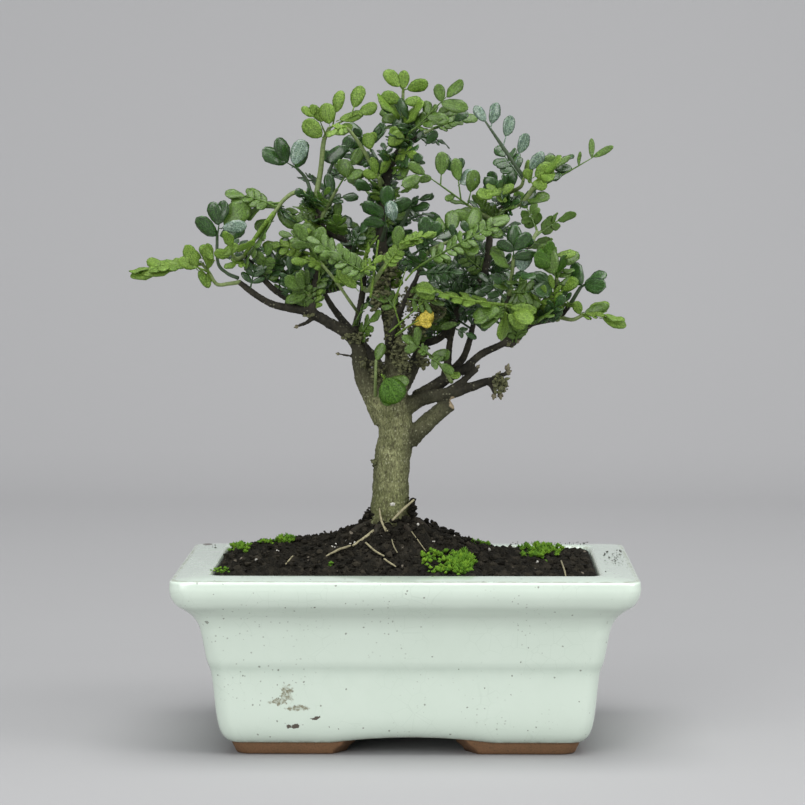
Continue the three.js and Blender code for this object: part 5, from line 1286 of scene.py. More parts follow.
# Straws that lean on the trunk: x, y, z and radius of their points
LEANING = [
    [(3.2, -10.5, 108.4, 0.45), (-2.4, -12.5, 103.4, 0.65), (-6.9, -15, 98.8, 0.5)],
    [(-12.8, -11, 104.4, 0.3), (-12, -13.5, 99, 0.55), (-9.8, -17, 93.4, 0.35)],
]


def straw_parts():
    """Thin cords laid over the soil through their seen points, each lifted by its own thickness."""
    parts = Parts()
    for k, row in enumerate(STRAWS):
        row = np.array(row, float)
        seen = through(row, np.linspace(0, 1, 9))
        lift = seen[:, 2] + 0.7
        points = on_soil(np.column_stack([seen[:, 0], seen[:, 1] - lift]))
        points[:, 2] += lift
        add_tube(parts, points, seen[:, 2], 6, 16, tint=0.6 * (k % 3 == 1))
    for row in LEANING:
        row = through(row, np.linspace(0, 1, 7))
        add_tube(parts, place(row[:, :3]), row[:, 3], 6, 12, tint=0.1)
    return parts


def grain_parts():
    """White grains pressed into the soil."""
    rng = np.random.default_rng(5)
    parts = Parts()
    middles = on_soil(GRAINS) + [0, 0, 0.5]
    add_lumps(parts, rng, middles, rng.uniform(0.5, 1.0, len(middles)), tint=rng.random(len(middles)) * 0.4)
    large = np.array(LARGE_GRAINS)
    add_lumps(parts, rng, place(large[:, :3]), large[:, 3], tint=np.zeros(len(large)))
    return parts


# Spikes of moss: how many leave a foot, places along one and its half thickness there
MOSS_SPIKES = 12
MOSS_ALONG = np.array([0, 0.35, 0.75, 1])
MOSS_THICK = np.array([0.22, 0.4, 0.34, 0.04])
# Moss cushions: middle and half width and half height as seen from the front, number of shoots, relative length
MOSS = [
    (-77.6, 84.8, 5.4, 2, 34, 0.8), (-56.4, 88.2, 4.6, 1, 40, 0.9), (-66, 87.6, 7, 0.5, 20, 0.5),
    (-85.6, 74.6, 7, 0.4, 24, 0.4), (22, 78.4, 8, 5.2, 110, 0.9), (27.4, 78, 3.4, 4.4, 50, 1.35),
    (34.4, 87.6, 5, 1, 36, 0.8), (62, 84, 10.5, 4.2, 100, 0.9), (11, 79.6, 4.5, 4, 26, 0.8),
    (14, 74.8, 4, 1, 10, 0.7), (-35, 77.6, 2.4, 1, 6, 0.4),
]


def moss_parts():
    """Tufts of moss: twelve three sided spikes leave each foot like a star, so that a spike's point at share t is its
    foot plus t times its reach outward, bent up by t less a fifth of t squared."""
    rng = np.random.default_rng(21)
    parts = Parts()
    each = 3 * len(MOSS_ALONG)
    for x, z, half_width, half_height, tufts, length in MOSS:
        spot = rng.normal(0, 0.46, (tufts, 2))
        spot *= np.minimum(1, 1.1 / np.maximum(np.linalg.norm(spot, axis=1, keepdims=True), 0.01))
        foot = on_soil(np.array([x, z]) + spot * np.array([half_width, half_height]))
        size = length * rng.uniform(2.4, 4.6, tufts) * (1.15 - 0.4 * np.linalg.norm(spot, axis=1))
        foot = np.repeat(foot, MOSS_SPIKES, axis=0)
        foot[:, 2] += np.repeat(rng.uniform(-0.6, 1.6, tufts), MOSS_SPIKES)
        count = len(foot)
        angle = np.repeat(rng.uniform(0, 6, tufts), MOSS_SPIKES) + np.tile(np.arange(MOSS_SPIKES) * 2.4, tufts)
        out = np.tile(np.linspace(0.15, 1.05, MOSS_SPIKES), tufts)
        lean = np.stack([np.cos(angle) * out, np.sin(angle) * out, angle * 0], 1)
        tall = np.repeat(size, MOSS_SPIKES) * rng.uniform(0.75, 1.1, count)
        t = MOSS_ALONG
        rise = np.array([0, 0, 1]) * (tall * (1.15 - 0.55 * out))[:, None, None] * (t - 0.2 * t ** 2)[None, :, None]
        centre = foot[:, None] + rise + lean[:, None] * (tall[:, None, None] * 0.62) * t[None, :, None]
        turn = rng.uniform(0, 2 * np.pi, count)[:, None] + 2 * np.pi * np.arange(3) / 3
        thick = MOSS_THICK[None, :, None] * rng.uniform(0.7, 1.3, count)[:, None, None]
        ring = np.stack([np.cos(turn), np.sin(turn), turn * 0], -1)
        points = centre[:, :, None] + ring[:, None] * thick[..., None]
        one = np.vstack([grid_faces(4, 3, round_columns=True), [(0, 2, 1, 1)], [(9, 10, 11, 11)]])
        quads = (one[None] + np.arange(count)[:, None, None] * each).reshape(-1, 4)
        up = np.broadcast_to(t[None, :, None], (count, 4, 3)).ravel()
        parts.add(points, quads, up=up, tint=np.repeat(rng.random(tufts) ** 1.5, each * MOSS_SPIKES))
    return parts


# Wood


def limb_rows():
    """Every branch and surface root as rows of x, y, z and radius at their own places."""
    rows = [np.array(TRUNK, float), *[np.array(limb, float) for limb in LIMBS]]
    rows = [np.column_stack([place(r[:, :3]), r[:, 3]]) for r in rows]
    for direction, reach, radius in SURFACE_ROOTS:
        t = ROOT_PLACES
        angle = math.radians(direction)
        x, y = TRUNK[2][0] + reach * t * math.cos(angle), reach * t * math.sin(angle)
        sink = np.where(t < 1, 0.3 * radius, -1.2 * radius)
        rows.append(np.column_stack([x, y, soil_height(x, y) + sink, radius * (1.15 - 0.65 * t)]))
    return rows


def rough_wood():
    """All branches as overlapping round tubes, before they are fused."""
    parts = Parts()
    for row in limb_rows():
        sides = 20 if row[0, 3] > 6 else 12
        add_tube(parts, row[:, :3], row[:, 3], sides, 5 * len(row))
    return parts


def nearest_branch(points):
    """For each point, the thickness of the branch whose middle line is nearest, counted from its bark."""
    lines = [through(row, np.linspace(0, 1, 6 * len(row))) for row in limb_rows()]
    line = np.concatenate(lines)
    thickness = np.empty(len(points))
    for chunk in np.array_split(np.arange(len(points)), max(1, len(points) // 4000)):
        off = np.linalg.norm(points[chunk][:, None] - line[None, :, :3], axis=-1) - line[None, :, 3]
        thickness[chunk] = line[off.argmin(1), 3]
    return thickness


def fused_wood(values):
    """Fuses the tubes on a fine lattice, then moves every point along its normal: upright fissures on stout wood
    (the negative of the size of stretched noise), and knobs and small burrs all over, each in share of the branch's
    thickness."""
    rough = rough_wood().piece("rough wood", [])
    apply(rough, "REMESH", mode="VOXEL", voxel_size=values.voxel / 1000)
    mesh = rough.data
    count = len(mesh.vertices)
    points, normals = np.empty(count * 3), np.empty(count * 3)
    mesh.vertices.foreach_get("co", points)
    mesh.vertices.foreach_get("normal", normals)
    points = points.reshape(-1, 3) * 1000 - POT_MIDDLE
    normals = normals.reshape(-1, 3)
    corners = np.empty(len(mesh.loops), int)
    mesh.loops.foreach_get("vertex_index", corners)
    quads = corners.reshape(-1, 4)
    thickness = nearest_branch(points)
    stout = np.clip((thickness - 2.6) / 3.5, 0, 1)
    upright = points * np.array([0.95, 0.95, 0.2])
    crack = 1 - np.abs(lattice(upright, 2))
    crack = np.clip((crack - 0.72) / 0.28, 0, 1) ** 1.5
    fine = 1 - np.abs(lattice(points * np.array([2.1, 2.1, 0.6]), 4))
    fine = np.clip((fine - 0.7) / 0.3, 0, 1)
    knobs = (lattice(points * 0.28, 6) * 0.11 + lattice(points * 0.9, 8) * 0.07) * thickness * (1 - 0.6 * stout)
    depth = -values.relief * stout * (1.3 * crack + 0.6 * fine)
    depth += knobs * np.clip(thickness / 3, 0.5, 1) + 0.12 * lattice(points * 2.4, 10)
    points = points + normals * depth[:, None]
    cut = near_seen(points, CUT_ENDS) * (points[:, 1] < 6)
    soiled = (soil_height(points[:, 0], points[:, 1]) + SOILED_HEIGHT - points[:, 2]) / SOILED_HEIGHT
    parts = Parts()
    parts.add(points, quads, stout=stout, fissure=np.clip(crack * stout * 0.8, 0, 1), soiled=np.clip(soiled, 0, 1),
              cut=(cut > 0.35) * 1.0)
    bpy.data.objects.remove(rough)
    return parts


# Buds and bud scales: x, y, z of their foot, the way they point, and their length
BUDS = [
    (41.5, -8, 163.6, 1, 0.1, 4), (43.2, -9, 160.8, 0.7, -0.7, 3.4), (42.6, -9, 158, 0.2, -1, 3.6),
    (45.4, -8, 166.4, 0.9, 0.6, 3.4), (45.8, -8, 168, 0.3, 1, 3.6), (40.2, -11, 157.6, -0.2, -1, 3.2),
    (42, -7, 165.6, 0.4, 1, 2.6), (44.2, -8, 161.4, 1, -0.2, 2.8), (39, -9, 162, 0.4, -0.9, 2.4),
    (49.8, -8, 181, 0.9, 0.5, 2.6), (32, -4, 169, 0.6, 0.8, 2.4), (58.6, -9, 192.4, 0.6, 0.8, 2.2),
    (-50, -7, 188.7, -0.9, -0.4, 2.4), (-31, -2, 175.6, -1, 0.2, 2), (-31, 5, 205.4, 0.9, 0.3, 2),
]


# Lichen and moss on the wood as seen from the front: middle x and z, half width and half height, depth, lumps
BURRS = [
    (-22, 183, 4.5, 2, -6, 60), (-27.5, 184.2, 1.8, 1.2, -5, 24), (-6.4, 190, 4, 12, -8, 380),
    (-2.6, 174, 4.2, 8, -9, 260), (7.4, 174, 3, 4.4, -4, 110), (5, 187, 3.6, 4.4, -7, 130),
    (-20.6, 171, 1.4, 3, -5, 22), (42.6, 162.4, 3.4, 3.8, -10, 90), (11, 196, 6, 6, -10, 150),
    (-13, 203, 4, 7, -10, 180), (47, 180, 1.6, 1.2, -8, 14), (-45, 193, 2, 1.2, -5, 14),
    (3, 200, 5, 7, -12, 160), (-14, 168, 3, 6, -8, 90), (-8, 215, 4, 8, -8, 110),
    (-15.2, 125.5, 0.9, 1.4, -4, 14),
]


def burr_parts():
    """Small lumps in normal scatter about each place."""
    rng = np.random.default_rng(77)
    parts = Parts()
    add_heaps(parts, rng, BURRS, depth_reach=3, small=0.4, large=1.3, fade=1)
    return parts


def bud_parts():
    """Pointed ovals: a circle whose radius is the sine of the share of the length to the power 0.7, carried along
    each bud's own direction."""
    parts = Parts()
    t = np.linspace(0, 1, 7)
    for x, y, z, dx, dz, length in BUDS:
        start = place([(x, y, z)])[0]
        for turn, size in ((0, 1.0), (0.5, 0.75), (-0.55, 0.7)):
            cos, sin = math.cos(turn), math.sin(turn)
            way = unit(np.array([dx * cos - dz * sin, -0.35 * turn, dx * sin + dz * cos]))
            points = start + way * (length * size * t)[:, None]
            radii = 0.26 * length * size * np.sin(np.pi * np.clip(t * 0.86 + 0.12, 0, 1)) ** 0.8
            add_tube(parts, points, radii, 7, 7, tint=abs(turn))
    return parts


# Leaves


def leaf_frame(base, tip, face):
    """A blade's length, and the directions along its rib, across it and up from its face."""
    along = tip - base
    length = np.linalg.norm(along)
    along = along / length
    up = np.array(FACES[face], float)
    up -= along * up.dot(along)
    if np.linalg.norm(up) < 0.2:
        up = np.array([0.0, 0.0, 1.0]) - along * along[2]
    up = unit(up)
    return length, along, np.cross(up, along), up


def leaflet_plan(base, tip, sides, leaflet, bare, face):
    """Rows of root, side, reach of the bare stalk, size and angle of each side leaflet, and where the rib ends."""
    length, along, across, up = leaf_frame(base, tip, face)
    if sides == 0:
        size = min(leaflet, 0.95 * length)
        return max(0.2, min(length * bare, length - 0.8 * size)), np.zeros((0, 5))
    if isinstance(sides, list):
        rib = max(length - min(leaflet, 0.95 * length), 0.15 * length)
        sight = np.column_stack([np.array(sides)[:, 0], np.zeros(len(sides)), np.array(sides)[:, 1]]) - EYE
        met = EYE + sight * ((base - EYE).dot(up) / (sight @ up))[:, None] - base
        a, b = met @ along, met @ across
        root = np.clip(a - np.abs(b) / math.tan(LEAFLET_SPREAD), 0.9, rib - 0.4)
        reach = np.hypot(a - root, b)
        free = np.maximum(0, reach - leaflet * LEAFLET_GROWTH)
        return rib, np.column_stack([root, np.sign(b), free, reach - free, np.arctan2(np.abs(b), a - root)])
    pairs = sides + 1
    size = min(leaflet * 0.95, 0.95 * length / (1 + 0.34 * pairs))
    rib = length - size
    stalk = max(0.0, min(length * bare, rib - size * (0.3 + 0.3 * pairs)))
    pitch = (rib - 0.25 * size - stalk) / pairs
    size_side = min(size, 2.1 * pitch)
    root = np.repeat(stalk + pitch * (np.arange(pairs) + 0.6), 2)
    side = np.tile([-1.0, 1.0], pairs)
    return rib, np.column_stack([root, side, root * 0, root * 0 + size_side, root * 0 + LEAFLET_SPREAD])


def add_leaflets(parts, rng, roots, ways, ups, sizes, broad, values, slot):
    """Leaflets, each a thin closed blade: its half width grows from a narrow foot to past the middle and ends in a
    blunt tip; the two halves fold up a little from the midrib, the edge rolls down, and the length droops by t
    squared. The underside is the same grid lowered by the thickness."""
    count = len(roots)
    t, s, half = LEAFLET_ALONG, LEAFLET_ACROSS, LEAFLET_HALF
    roll = rng.normal(0, 0.2, count)
    sideways = unit(np.cross(ups, ways))
    ups = unit(np.cross(ways, sideways))
    across = sideways * np.cos(roll)[:, None] + ups * np.sin(roll)[:, None]
    ups = unit(np.cross(ways, across))
    wide = sizes * values.width * broad * rng.uniform(0.86, 1.1, count)
    fold = rng.uniform(0.04, 0.26, count)
    droop = rng.uniform(-0.04, 0.2, count)
    out = half[None, :, None] * s * wide[:, None, None]
    lift = np.abs(out) * fold[:, None, None] - 0.22 * wide[:, None, None] * (s ** 4) * half[None, :, None]
    lift = lift - droop[:, None, None] * sizes[:, None, None] * (t ** 2)[None, :, None]
    wave = 0.05 * sizes[:, None, None] * np.sin(9 * t[None, :, None] + 6 * rng.random((count, 1, 1))) * np.abs(s)
    lift = lift + wave
    points = (roots[:, None, None] + ways[:, None, None] * (sizes[:, None] * t)[:, :, None, None]
              + across[:, None, None] * out[..., None] + ups[:, None, None] * lift[..., None])
    thick = values.thickness / 2 * ups[:, None, None]
    both = np.stack([points + thick, points - thick], 1)
    rows, columns = len(t), len(s)
    size = rows * columns
    top = grid_faces(rows, columns)[:, ::-1]
    under = grid_faces(rows, columns) + size
    index = np.arange(size).reshape(rows, columns)
    rim = np.concatenate([index[0, :-1], index[:-1, -1], index[-1, :0:-1], index[:0:-1, 0]])
    after = np.roll(rim, -1)
    edge = np.stack([rim, after, after + size, rim + size], 1)
    one = np.vstack([top, under, edge])
    quads = (one[None] + np.arange(count)[:, None, None] * 2 * size).reshape(-1, 4)
    uv = np.stack(np.broadcast_arrays(t[:, None], (s[None] + 1) / 2), -1)
    uv = np.broadcast_to(uv, (count, 2, rows, columns, 2))
    low = np.broadcast_to(np.array([0.0, 1.0])[None, :, None, None], (count, 2, rows, columns))
    shade = np.clip(rng.normal(0.35, 0.3, count), 0, 1)
    parts.add(both, quads, uv, slot, tint=np.repeat(shade, 2 * size), under=low.ravel(), leafy=1.0)


# Finish of each tone of leaf: name, fresher tone, roughness and share of gloss
LEAF_FINISH = {
    # The dark tone is partly painted shade, for the leaves inside and behind the crown
    "dark": ("Dark leaf", (0.035, 0.085, 0.02, 1), 0.3, 0.5),
    "mid": ("Mid leaf", (0.09, 0.165, 0.024, 1), 0.42, 0.15),
    "light": ("Light leaf", (0.155, 0.245, 0.035, 1), 0.5, 0.0),
    "yellow": ("Yellow leaf", (0.62, 0.5, 0.08, 1), 0.5, 0.0),
    "bright": ("Bright leaf", (0.06, 0.14, 0.008, 1), 0.5, 0.0),
    # Painted glare: a pale grey green for dark glossy leaves where glare lies on them, with a glossier coat
    "silver": ("Glossy leaf in glare", (0.21, 0.28, 0.22, 1), 0.3, 0.6),
}
# Finish of green and dark green stems: name, two tones, scale of the grain and roughness
STEM_FINISH = [
    ("Green stem", (0.18, 0.24, 0.075, 1), (0.11, 0.15, 0.045, 1), 900.0, 0.6),
    ("Dark green stem", (0.05, 0.085, 0.035, 1), (0.03, 0.05, 0.02, 1), 900.0, 0.55),
]
SLOTS = [*LEAF_FINISH, "stem", "dark stem"]


def add_leaf(parts, rng, base, tip, sides, leaflet, bare, arch, face, tone, broad=1.0, *, values):
    """A pinnate leaf: its rib is a flattened cord that arches by 4t(1 - t), with its leaflets set along it."""
    length, along, across, up = leaf_frame(base, tip, face)
    rib, plan = leaflet_plan(base, tip, sides, leaflet, bare, face)

    def on_rib(a):
        t = np.clip(np.asarray(a, float) / length, 0, 1)
        return base + along * np.asarray(a, float)[..., None] + up * (arch * 4 * t * (1 - t))[..., None]

    slot = SLOTS.index(tone)
    stations = np.linspace(-0.5, rib, 7)
    thick = 0.45 + 0.45 * (len(plan) > 0)
    # A leaf with painted glare takes the dark stem's finish for its rib, which stays dark beside the painted glare
    cord = SLOTS.index("dark stem") if tone == "silver" else slot
    add_tube(parts, on_rib(stations), [thick, thick, 0.5 * thick], 6, 9, flat=0.45, slot=cord, tint=0.9, leafy=0.0)
    roots, ways = [on_rib(rib)[None]], [unit(along - 0.1 * up)[None]]
    ups, sizes = [up[None]], [np.array([length - rib])]
    if len(plan):
        root, side, free, size, angle = plan.T
        angle = angle + rng.normal(0, 0.07, len(angle))
        way = np.cos(angle)[:, None] * along + (side * np.sin(angle))[:, None] * across
        way = unit(way + LEAFLET_CUP * np.sin(angle)[:, None] * up + rng.normal(0, 0.05, way.shape))
        start = on_rib(root)
        for k in np.flatnonzero(free > 1.5):
            stalk = start[k] + way[k] * np.linspace(0, free[k], 3)[:, None]
            add_tube(parts, stalk, [0.4, 0.3], 5, 4, slot=slot, tint=0.7)
        roots.append(start + way * free[:, None])
        ways.append(way)
        ups.append(unit(up - LEAFLET_CUP * side[:, None] * across))
        sizes.append(size)
    roots, ways, ups = (np.vstack(rows) for rows in (roots, ways, ups))
    add_leaflets(parts, rng, roots, ways, ups, np.concatenate(sizes), broad, values, slot)


# Where the crown is thick, as seen from the front: middle x and z, half width and half height of ovals, how many
# fronds each draws, their leaflets' length, and the shares of dark and of light leaves, the dark share partly
# painted shade deep in the crown
CROWN = [
    (27, 213, 25, 16, 8, 6.2, 0.8, 0), (0, 209, 22, 19, 5, 7.2, 0.35, 0.15), (0, 236, 32, 18, 8, 8.6, 0.3, 0.2),
    (-12, 274, 27, 22, 9, 9.4, 0.6, 0.1), (48, 248, 22, 12, 6, 8, 0.5, 0.1), (-78, 224, 17, 9, 3, 7.6, 0.1, 0.6),
    (-42, 232, 18, 22, 8, 8.8, 0.3, 0.2), (60, 208, 18, 15, 5, 8.2, 0.4, 0.25), (20, 281, 14, 7, 2, 7.6, 0.5, 0.1),
]

# Leaves that stand out at the front of the crown, as seen from there: x and z of foot and tip, depth, leaflet
# length, breadth and tone, then pairs of side leaflets where there are any, and the face where it isn't the front
# Some leaves below carry painted glare: dark glossy leaves given a pale grey green where glare lies on them
FRONT_LEAVES = [
    # left cluster
    (-85, 233.5, -73.6, 245.3, -8, 15, 1.1, "mid"), (-88.6, 218.8, -95, 225.5, -10, 9, 1.2, "light"),
    (-94.9, 218.3, -105, 217.7, -9, 10, 1.2, "light"), (-93.7, 219.4, -103, 223.4, -9, 9.5, 0.9, "light"),
    (-102.9, 216, -114.5, 216, -12, 11, 0.9, "light"), (-107, 214, -122, 213.6, -14, 13, 0.7, "light", 0, "half"),
    (-112, 213.4, -127.6, 212.6, -14, 14, 0.6, "light", 0, "half"), (-85.7, 221.1, -78, 226, -18, 8.5, 1, "light"),
    (-81.1, 225.7, -84.4, 232, -20, 7, 1, "light"), (-96.6, 214.6, -90.5, 207, -9, 9, 0.9, "light", 0, "half"),
    (-71.9, 244.7, -83, 251, -2, 12, 0.8, "mid", 0, "half"), (-65.6, 244.1, -72.8, 251.4, -2, 10.5, 0.9, "mid"),
    (-57, 243.5, -67, 245.8, 0, 10, 0.9, "mid", 0, "half"), (-60.4, 241.8, -50.6, 234, 1, 13, 1, "mid"),
    (-58.1, 241.8, -50, 237.5, 4, 9.5, 0.8, "dark"), (-61.6, 236.6, -70, 233.6, -1, 9.5, 1.2, "mid"),
    (-65.6, 214.8, -58, 212, 5, 8, 0.9, "mid", 0, "half"),
    (-42.6, 220, -53, 219.1, -6, 10.5, 0.6, "light", 0, "half"), (-41, 228, -49, 234.5, -12, 10, 1.3, "mid"),
    (-44, 227, -59, 231.5, -8, 6.5, 1, "mid", 2, "half"), (-38, 226, -52, 228.4, -10, 6.5, 1, "mid", 2),
    (-20, 213, -46, 230, -26, 7, 1, "mid", 4, "half"), (-16, 211, -36, 222.5, -30, 7, 1, "mid", 3),
    (-22.7, 205, -32, 215.5, -20, 13.5, 0.9, "light"), (-86, 233.4, -74.2, 235, -17, 12, 0.9, "silver"),
    (-52.6, 261.6, -47.4, 273.8, -8, 13, 1.1, "silver"), (-6, 236, -8.4, 246, -30, 10, 1.1, "silver"),
    # upper left
    (-42.5, 284, -48, 289, -7, 6.5, 1, "light"), (-42.8, 285, -43.4, 290, -7, 5, 1, "light"),
    (-35.4, 280.2, -37.6, 290.6, -8, 10.4, 1.45, "light"), (-38.3, 274.5, -47.4, 282.6, -8, 12, 1.2, "light"),
    (-32, 282.6, -20, 286.5, -6, 12.5, 0.8, "light"), (-35.4, 276.2, -25.4, 281, -4, 10.5, 0.9, "light", 0, "half"),
    (-17, 268.8, -18.4, 277, -12, 8.4, 1.4, "light"), (-9, 271.1, -2.6, 277.2, -12, 8.8, 1.3, "light"),
    (-27.4, 256.1, -29.9, 264.9, -8, 9.4, 1.3, "mid"), (-28.5, 255.5, -21, 260.4, -8, 9, 0.9, "mid", 0, "half"),
    (-26.2, 271.6, -37, 264.4, 5, 13, 1, "dark"), (-19.3, 261.3, -24.8, 269.2, 4, 9.6, 1.2, "dark"),
    (-18.8, 272.8, -24.4, 279.2, 6, 8, 1.1, "dark", 1), (-17, 272.8, -11.8, 279.9, 6, 8, 1.1, "dark", 1),
    (-34.3, 246.9, -36.3, 258.4, 3, 11.8, 0.8, "dark"),
    # top
    (-2.1, 291.4, -11.8, 294.4, -8, 10.4, 1.3, "light"), (-2.1, 291, 6.4, 292.4, -8, 9, 1.2, "light"),
    (-5.5, 285.6, -11.6, 291.2, 2, 8.6, 1.1, "dark"), (-3.3, 283.1, -11.2, 284, -3, 8.6, 1.1, "mid"),
    (-2.7, 284.8, -5.6, 277.6, -5, 8.4, 1.2, "dark"), (-2.1, 284.3, 9.2, 285.2, -6, 11, 0.8, "mid", 0, "half"),
    (1.3, 277.4, 20, 289.8, -10, 7, 0.9, "mid", 3, "half"), (9.4, 283.7, 22.6, 287.6, -8, 13, 0.6, "mid", 0, "half"),
    (8.2, 284, 10, 291.4, -2, 8, 1.1, "dark"), (15.1, 280, 17.4, 285.6, -2, 6.4, 1.2, "dark"),
    (20.9, 282.3, 27.4, 286.8, -2, 7.6, 1, "dark"), (2.5, 271.8, 6.8, 278.6, -3, 7.8, 1, "dark"),
    (8.8, 271.6, 13.4, 278, -3, 7.8, 1, "dark"),
    # middle, right of the leader
    (-2.1, 253.2, 11, 257, -10, 7.5, 1, "mid", 2), (20.9, 259, 15.6, 268, -12, 10, 0.8, "dark"),
    (22.6, 258.6, 25.2, 265.4, -12, 7, 1.1, "dark"), (23.7, 253.2, 31, 259.6, -12, 9.4, 1.2, "silver"),
    (27.3, 244, 19, 248, -9, 9.4, 0.8, "mid", 0, "half"), (30.7, 238.3, 20.8, 240.4, -14, 10.4, 1.1, "mid"),
    (33.6, 234.9, 30.4, 243, -14, 8.6, 1.1, "mid"), (4.9, 246.3, 12, 249, -6, 8, 0.9, "dark", 0, "half"),
    (14.6, 233.7, 6.6, 237.8, -22, 8.6, 0.9, "dark"), (16.9, 231.4, 14.4, 238.2, -22, 7.4, 1.1, "mid"),
    (20.4, 230, 20.6, 235.4, -22, 5.6, 1, "dark"), (27.8, 231.4, 25.2, 236.6, -24, 6.4, 1, "dark"),
    # right
    (57.7, 261, 69, 265, -8, 12, 1, "mid"), (57.7, 256.7, 66.8, 262.2, -14, 10.8, 1.3, "light"),
    (56.6, 254.4, 64, 253, -14, 8, 1.2, "light"), (55.4, 255.2, 54.6, 260.6, -14, 6, 1.2, "light"),
    (66.9, 256.7, 73, 261.6, -6, 8, 1, "mid", 0, "half"), (65.7, 259.6, 74, 267.4, -8, 11.6, 0.5, "mid", 0, "half"),
    (52, 242.9, 58.6, 251, -8, 11, 0.9, "dark"), (40.5, 252.7, 38, 259.6, -6, 7.6, 1.2, "dark"),
    (42.8, 252.7, 49, 257.6, -6, 8, 1.1, "dark"), (39.3, 252, 35, 252.3, -6, 5.4, 1.1, "dark"),
    (36.1, 246, 32.4, 250.8, -18, 7.4, 1.3, "light"), (36.4, 248.1, 48.8, 253.6, -16, 13.4, 0.7, "light"),
    (50.8, 225.7, 48.2, 234, -18, 9.2, 1.2, "dark"), (51.4, 225.1, 58, 228.3, -18, 7.6, 1.1, "dark"),
    (52, 213, 54, 224, -22, 11.4, 1.4, "silver"), (45.1, 217.6, 39, 225, -22, 10.4, 1, "mid"),
    (68, 211, 62, 226.4, -20, 16, 1, "mid"), (68, 220.4, 77, 223.2, -14, 9.6, 0.8, "light", 0, "half"),
    (68, 207.3, 58, 213.4, -14, 12, 0.9, "dark", 0, "half"), (69.8, 207.8, 78, 209.8, -14, 9, 1.1, "mid"),
    (80.7, 206.9, 91, 207, -12, 10.6, 0.6, "dark", 0, "half"), (79.5, 193.5, 77.4, 200, -12, 7, 1.1, "light"),
    (80.7, 194.8, 92.6, 198.2, -12, 12.4, 0.7, "mid"), (81, 194.2, 91, 194.6, -14, 10.4, 0.8, "light", 0, "half"),
    (88.7, 192.3, 100.8, 189.4, -14, 12.6, 0.8, "light"),
    # long bright and toothed strips across the middle
    (-11, 214.5, 0.5, 229, -36, 6.6, 1.1, "light", 3, "half"),
    (-3, 226.6, 13, 231.6, -40, 6.6, 1.1, "light", 3, "half"),
    (6, 216.6, 45, 237.6, -30, 6.4, 0.8, "mid", 8, "half"), (-21, 214, -11, 221, -32, 6, 0.8, "light", 2),
    (23, 187, 32, 183, -8, 8, 0.9, "dark", 1), (24, 190, 15, 188, -8, 8, 0.8, "mid"),
    # low right
    (12.9, 200.4, 5, 208, -30, 11, 1.2, "light"), (46.2, 197.5, 58.8, 195.8, -26, 13, 0.8, "light"),
    (45.6, 194.6, 54.2, 188.4, -26, 11, 1, "light"), (43.9, 196.4, 30, 194, -26, 14.4, 0.9, "mid"),
    (44, 195, 33.6, 188.6, -24, 12.4, 0.8, "mid", 0, "half"), (34.7, 207.8, 43.2, 211.6, -10, 9.4, 0.9, "dark"),
    (25.5, 203.2, 37, 204, -10, 7.4, 1, "dark", 1, "half"),
    (55.4, 204.4, 65.6, 204, -18, 10.4, 0.8, "dark", 0, "half"),
    (52, 208.4, 43, 210, -20, 9.2, 0.8, "mid", 0, "half"), (48.5, 206.1, 39.6, 207.6, -20, 9, 0.7, "mid", 0, "half"),
    # round the fork of the trunk
    (-10.4, 165.8, -4.2, 153.4, -20, 13.4, 1.75, "bright"), (10.6, 174, 21.4, 167, -18, 9, 0.9, "mid", 1),
    (9.4, 175.7, 0, 182.3, -18, 8.4, 0.9, "mid", 1, "half"), (10.6, 175.1, 19.6, 176.6, -16, 9.4, 0.9, "mid"),
    (19.2, 165.9, 24.4, 166, -14, 5.6, 1.2, "light"), (4.8, 190.4, 11.6, 195, -20, 8, 1.15, "yellow"),
    (5.4, 190.2, 11, 189.2, -20, 5.8, 1.1, "yellow"),
]

# Bare leaf stalks in front of the crown: x, y and z of their points, radius and tone
STALKS = [
    ([(-17, -22, 201.8), (-14.7, -26, 217.9), (-13.3, -28, 228)], 1.05, "light"),
    ([(-20.7, -14, 205), (-22.5, -18, 219.7)], 0.6, "light"),
    ([(-0.9, -24, 209.6), (3.4, -26, 214.6), (8.3, -27, 217.9)], 0.5, "light"),
    ([(-5.5, -15, 184.3), (0.6, -17, 188.6), (5.1, -18, 191.2)], 0.5, "light"),
    ([(-12.4, -13, 157.3), (-10.7, -16, 163.6), (-11.9, -18, 166.4)], 0.6, "light"),
    ([(-61, -6, 240.5), (-67.3, -8, 232.6), (-71.9, -9, 225.7), (-74.8, -8, 221.1)], 1.3, "light"),
    ([(-96.6, -9, 216), (-92.4, -8, 212), (-88.6, -7, 208.4)], 0.8, "light"),
    ([(-8.3, -16, 185.7), (0, -18, 193), (7.5, -20, 200)], 0.45, "light"),
    ([(-5.1, -18, 201.4), (-3, -20, 208), (-0.4, -22, 215.6)], 0.5, "light"),
    ([(-3, -16, 188), (-6, -18, 199), (-4, -20, 206)], 0.4, "light"),
]


# The small fronds inside the crown: the stoutest wood that carries them and its lowest height, how far they reach
# from it, the greatest depth of their tips, and how many places are tried for each
FROND_WOOD = 3.4
FROND_LOWEST = 168
FROND_REACH = (13, 24)
FROND_DEPTH = 52
FROND_TRIES = 60


def front_leaf(x, z, tip_x, tip_z, depth, leaflet, broad, tone, pairs=0, face="front"):
    """Foot, tip, pairs of side leaflets, leaflet length, breadth, face and tone of a leaf at the front."""
    return (*place([(x, depth, z), (tip_x, depth - 2, tip_z)]), pairs, leaflet, broad, face, tone)


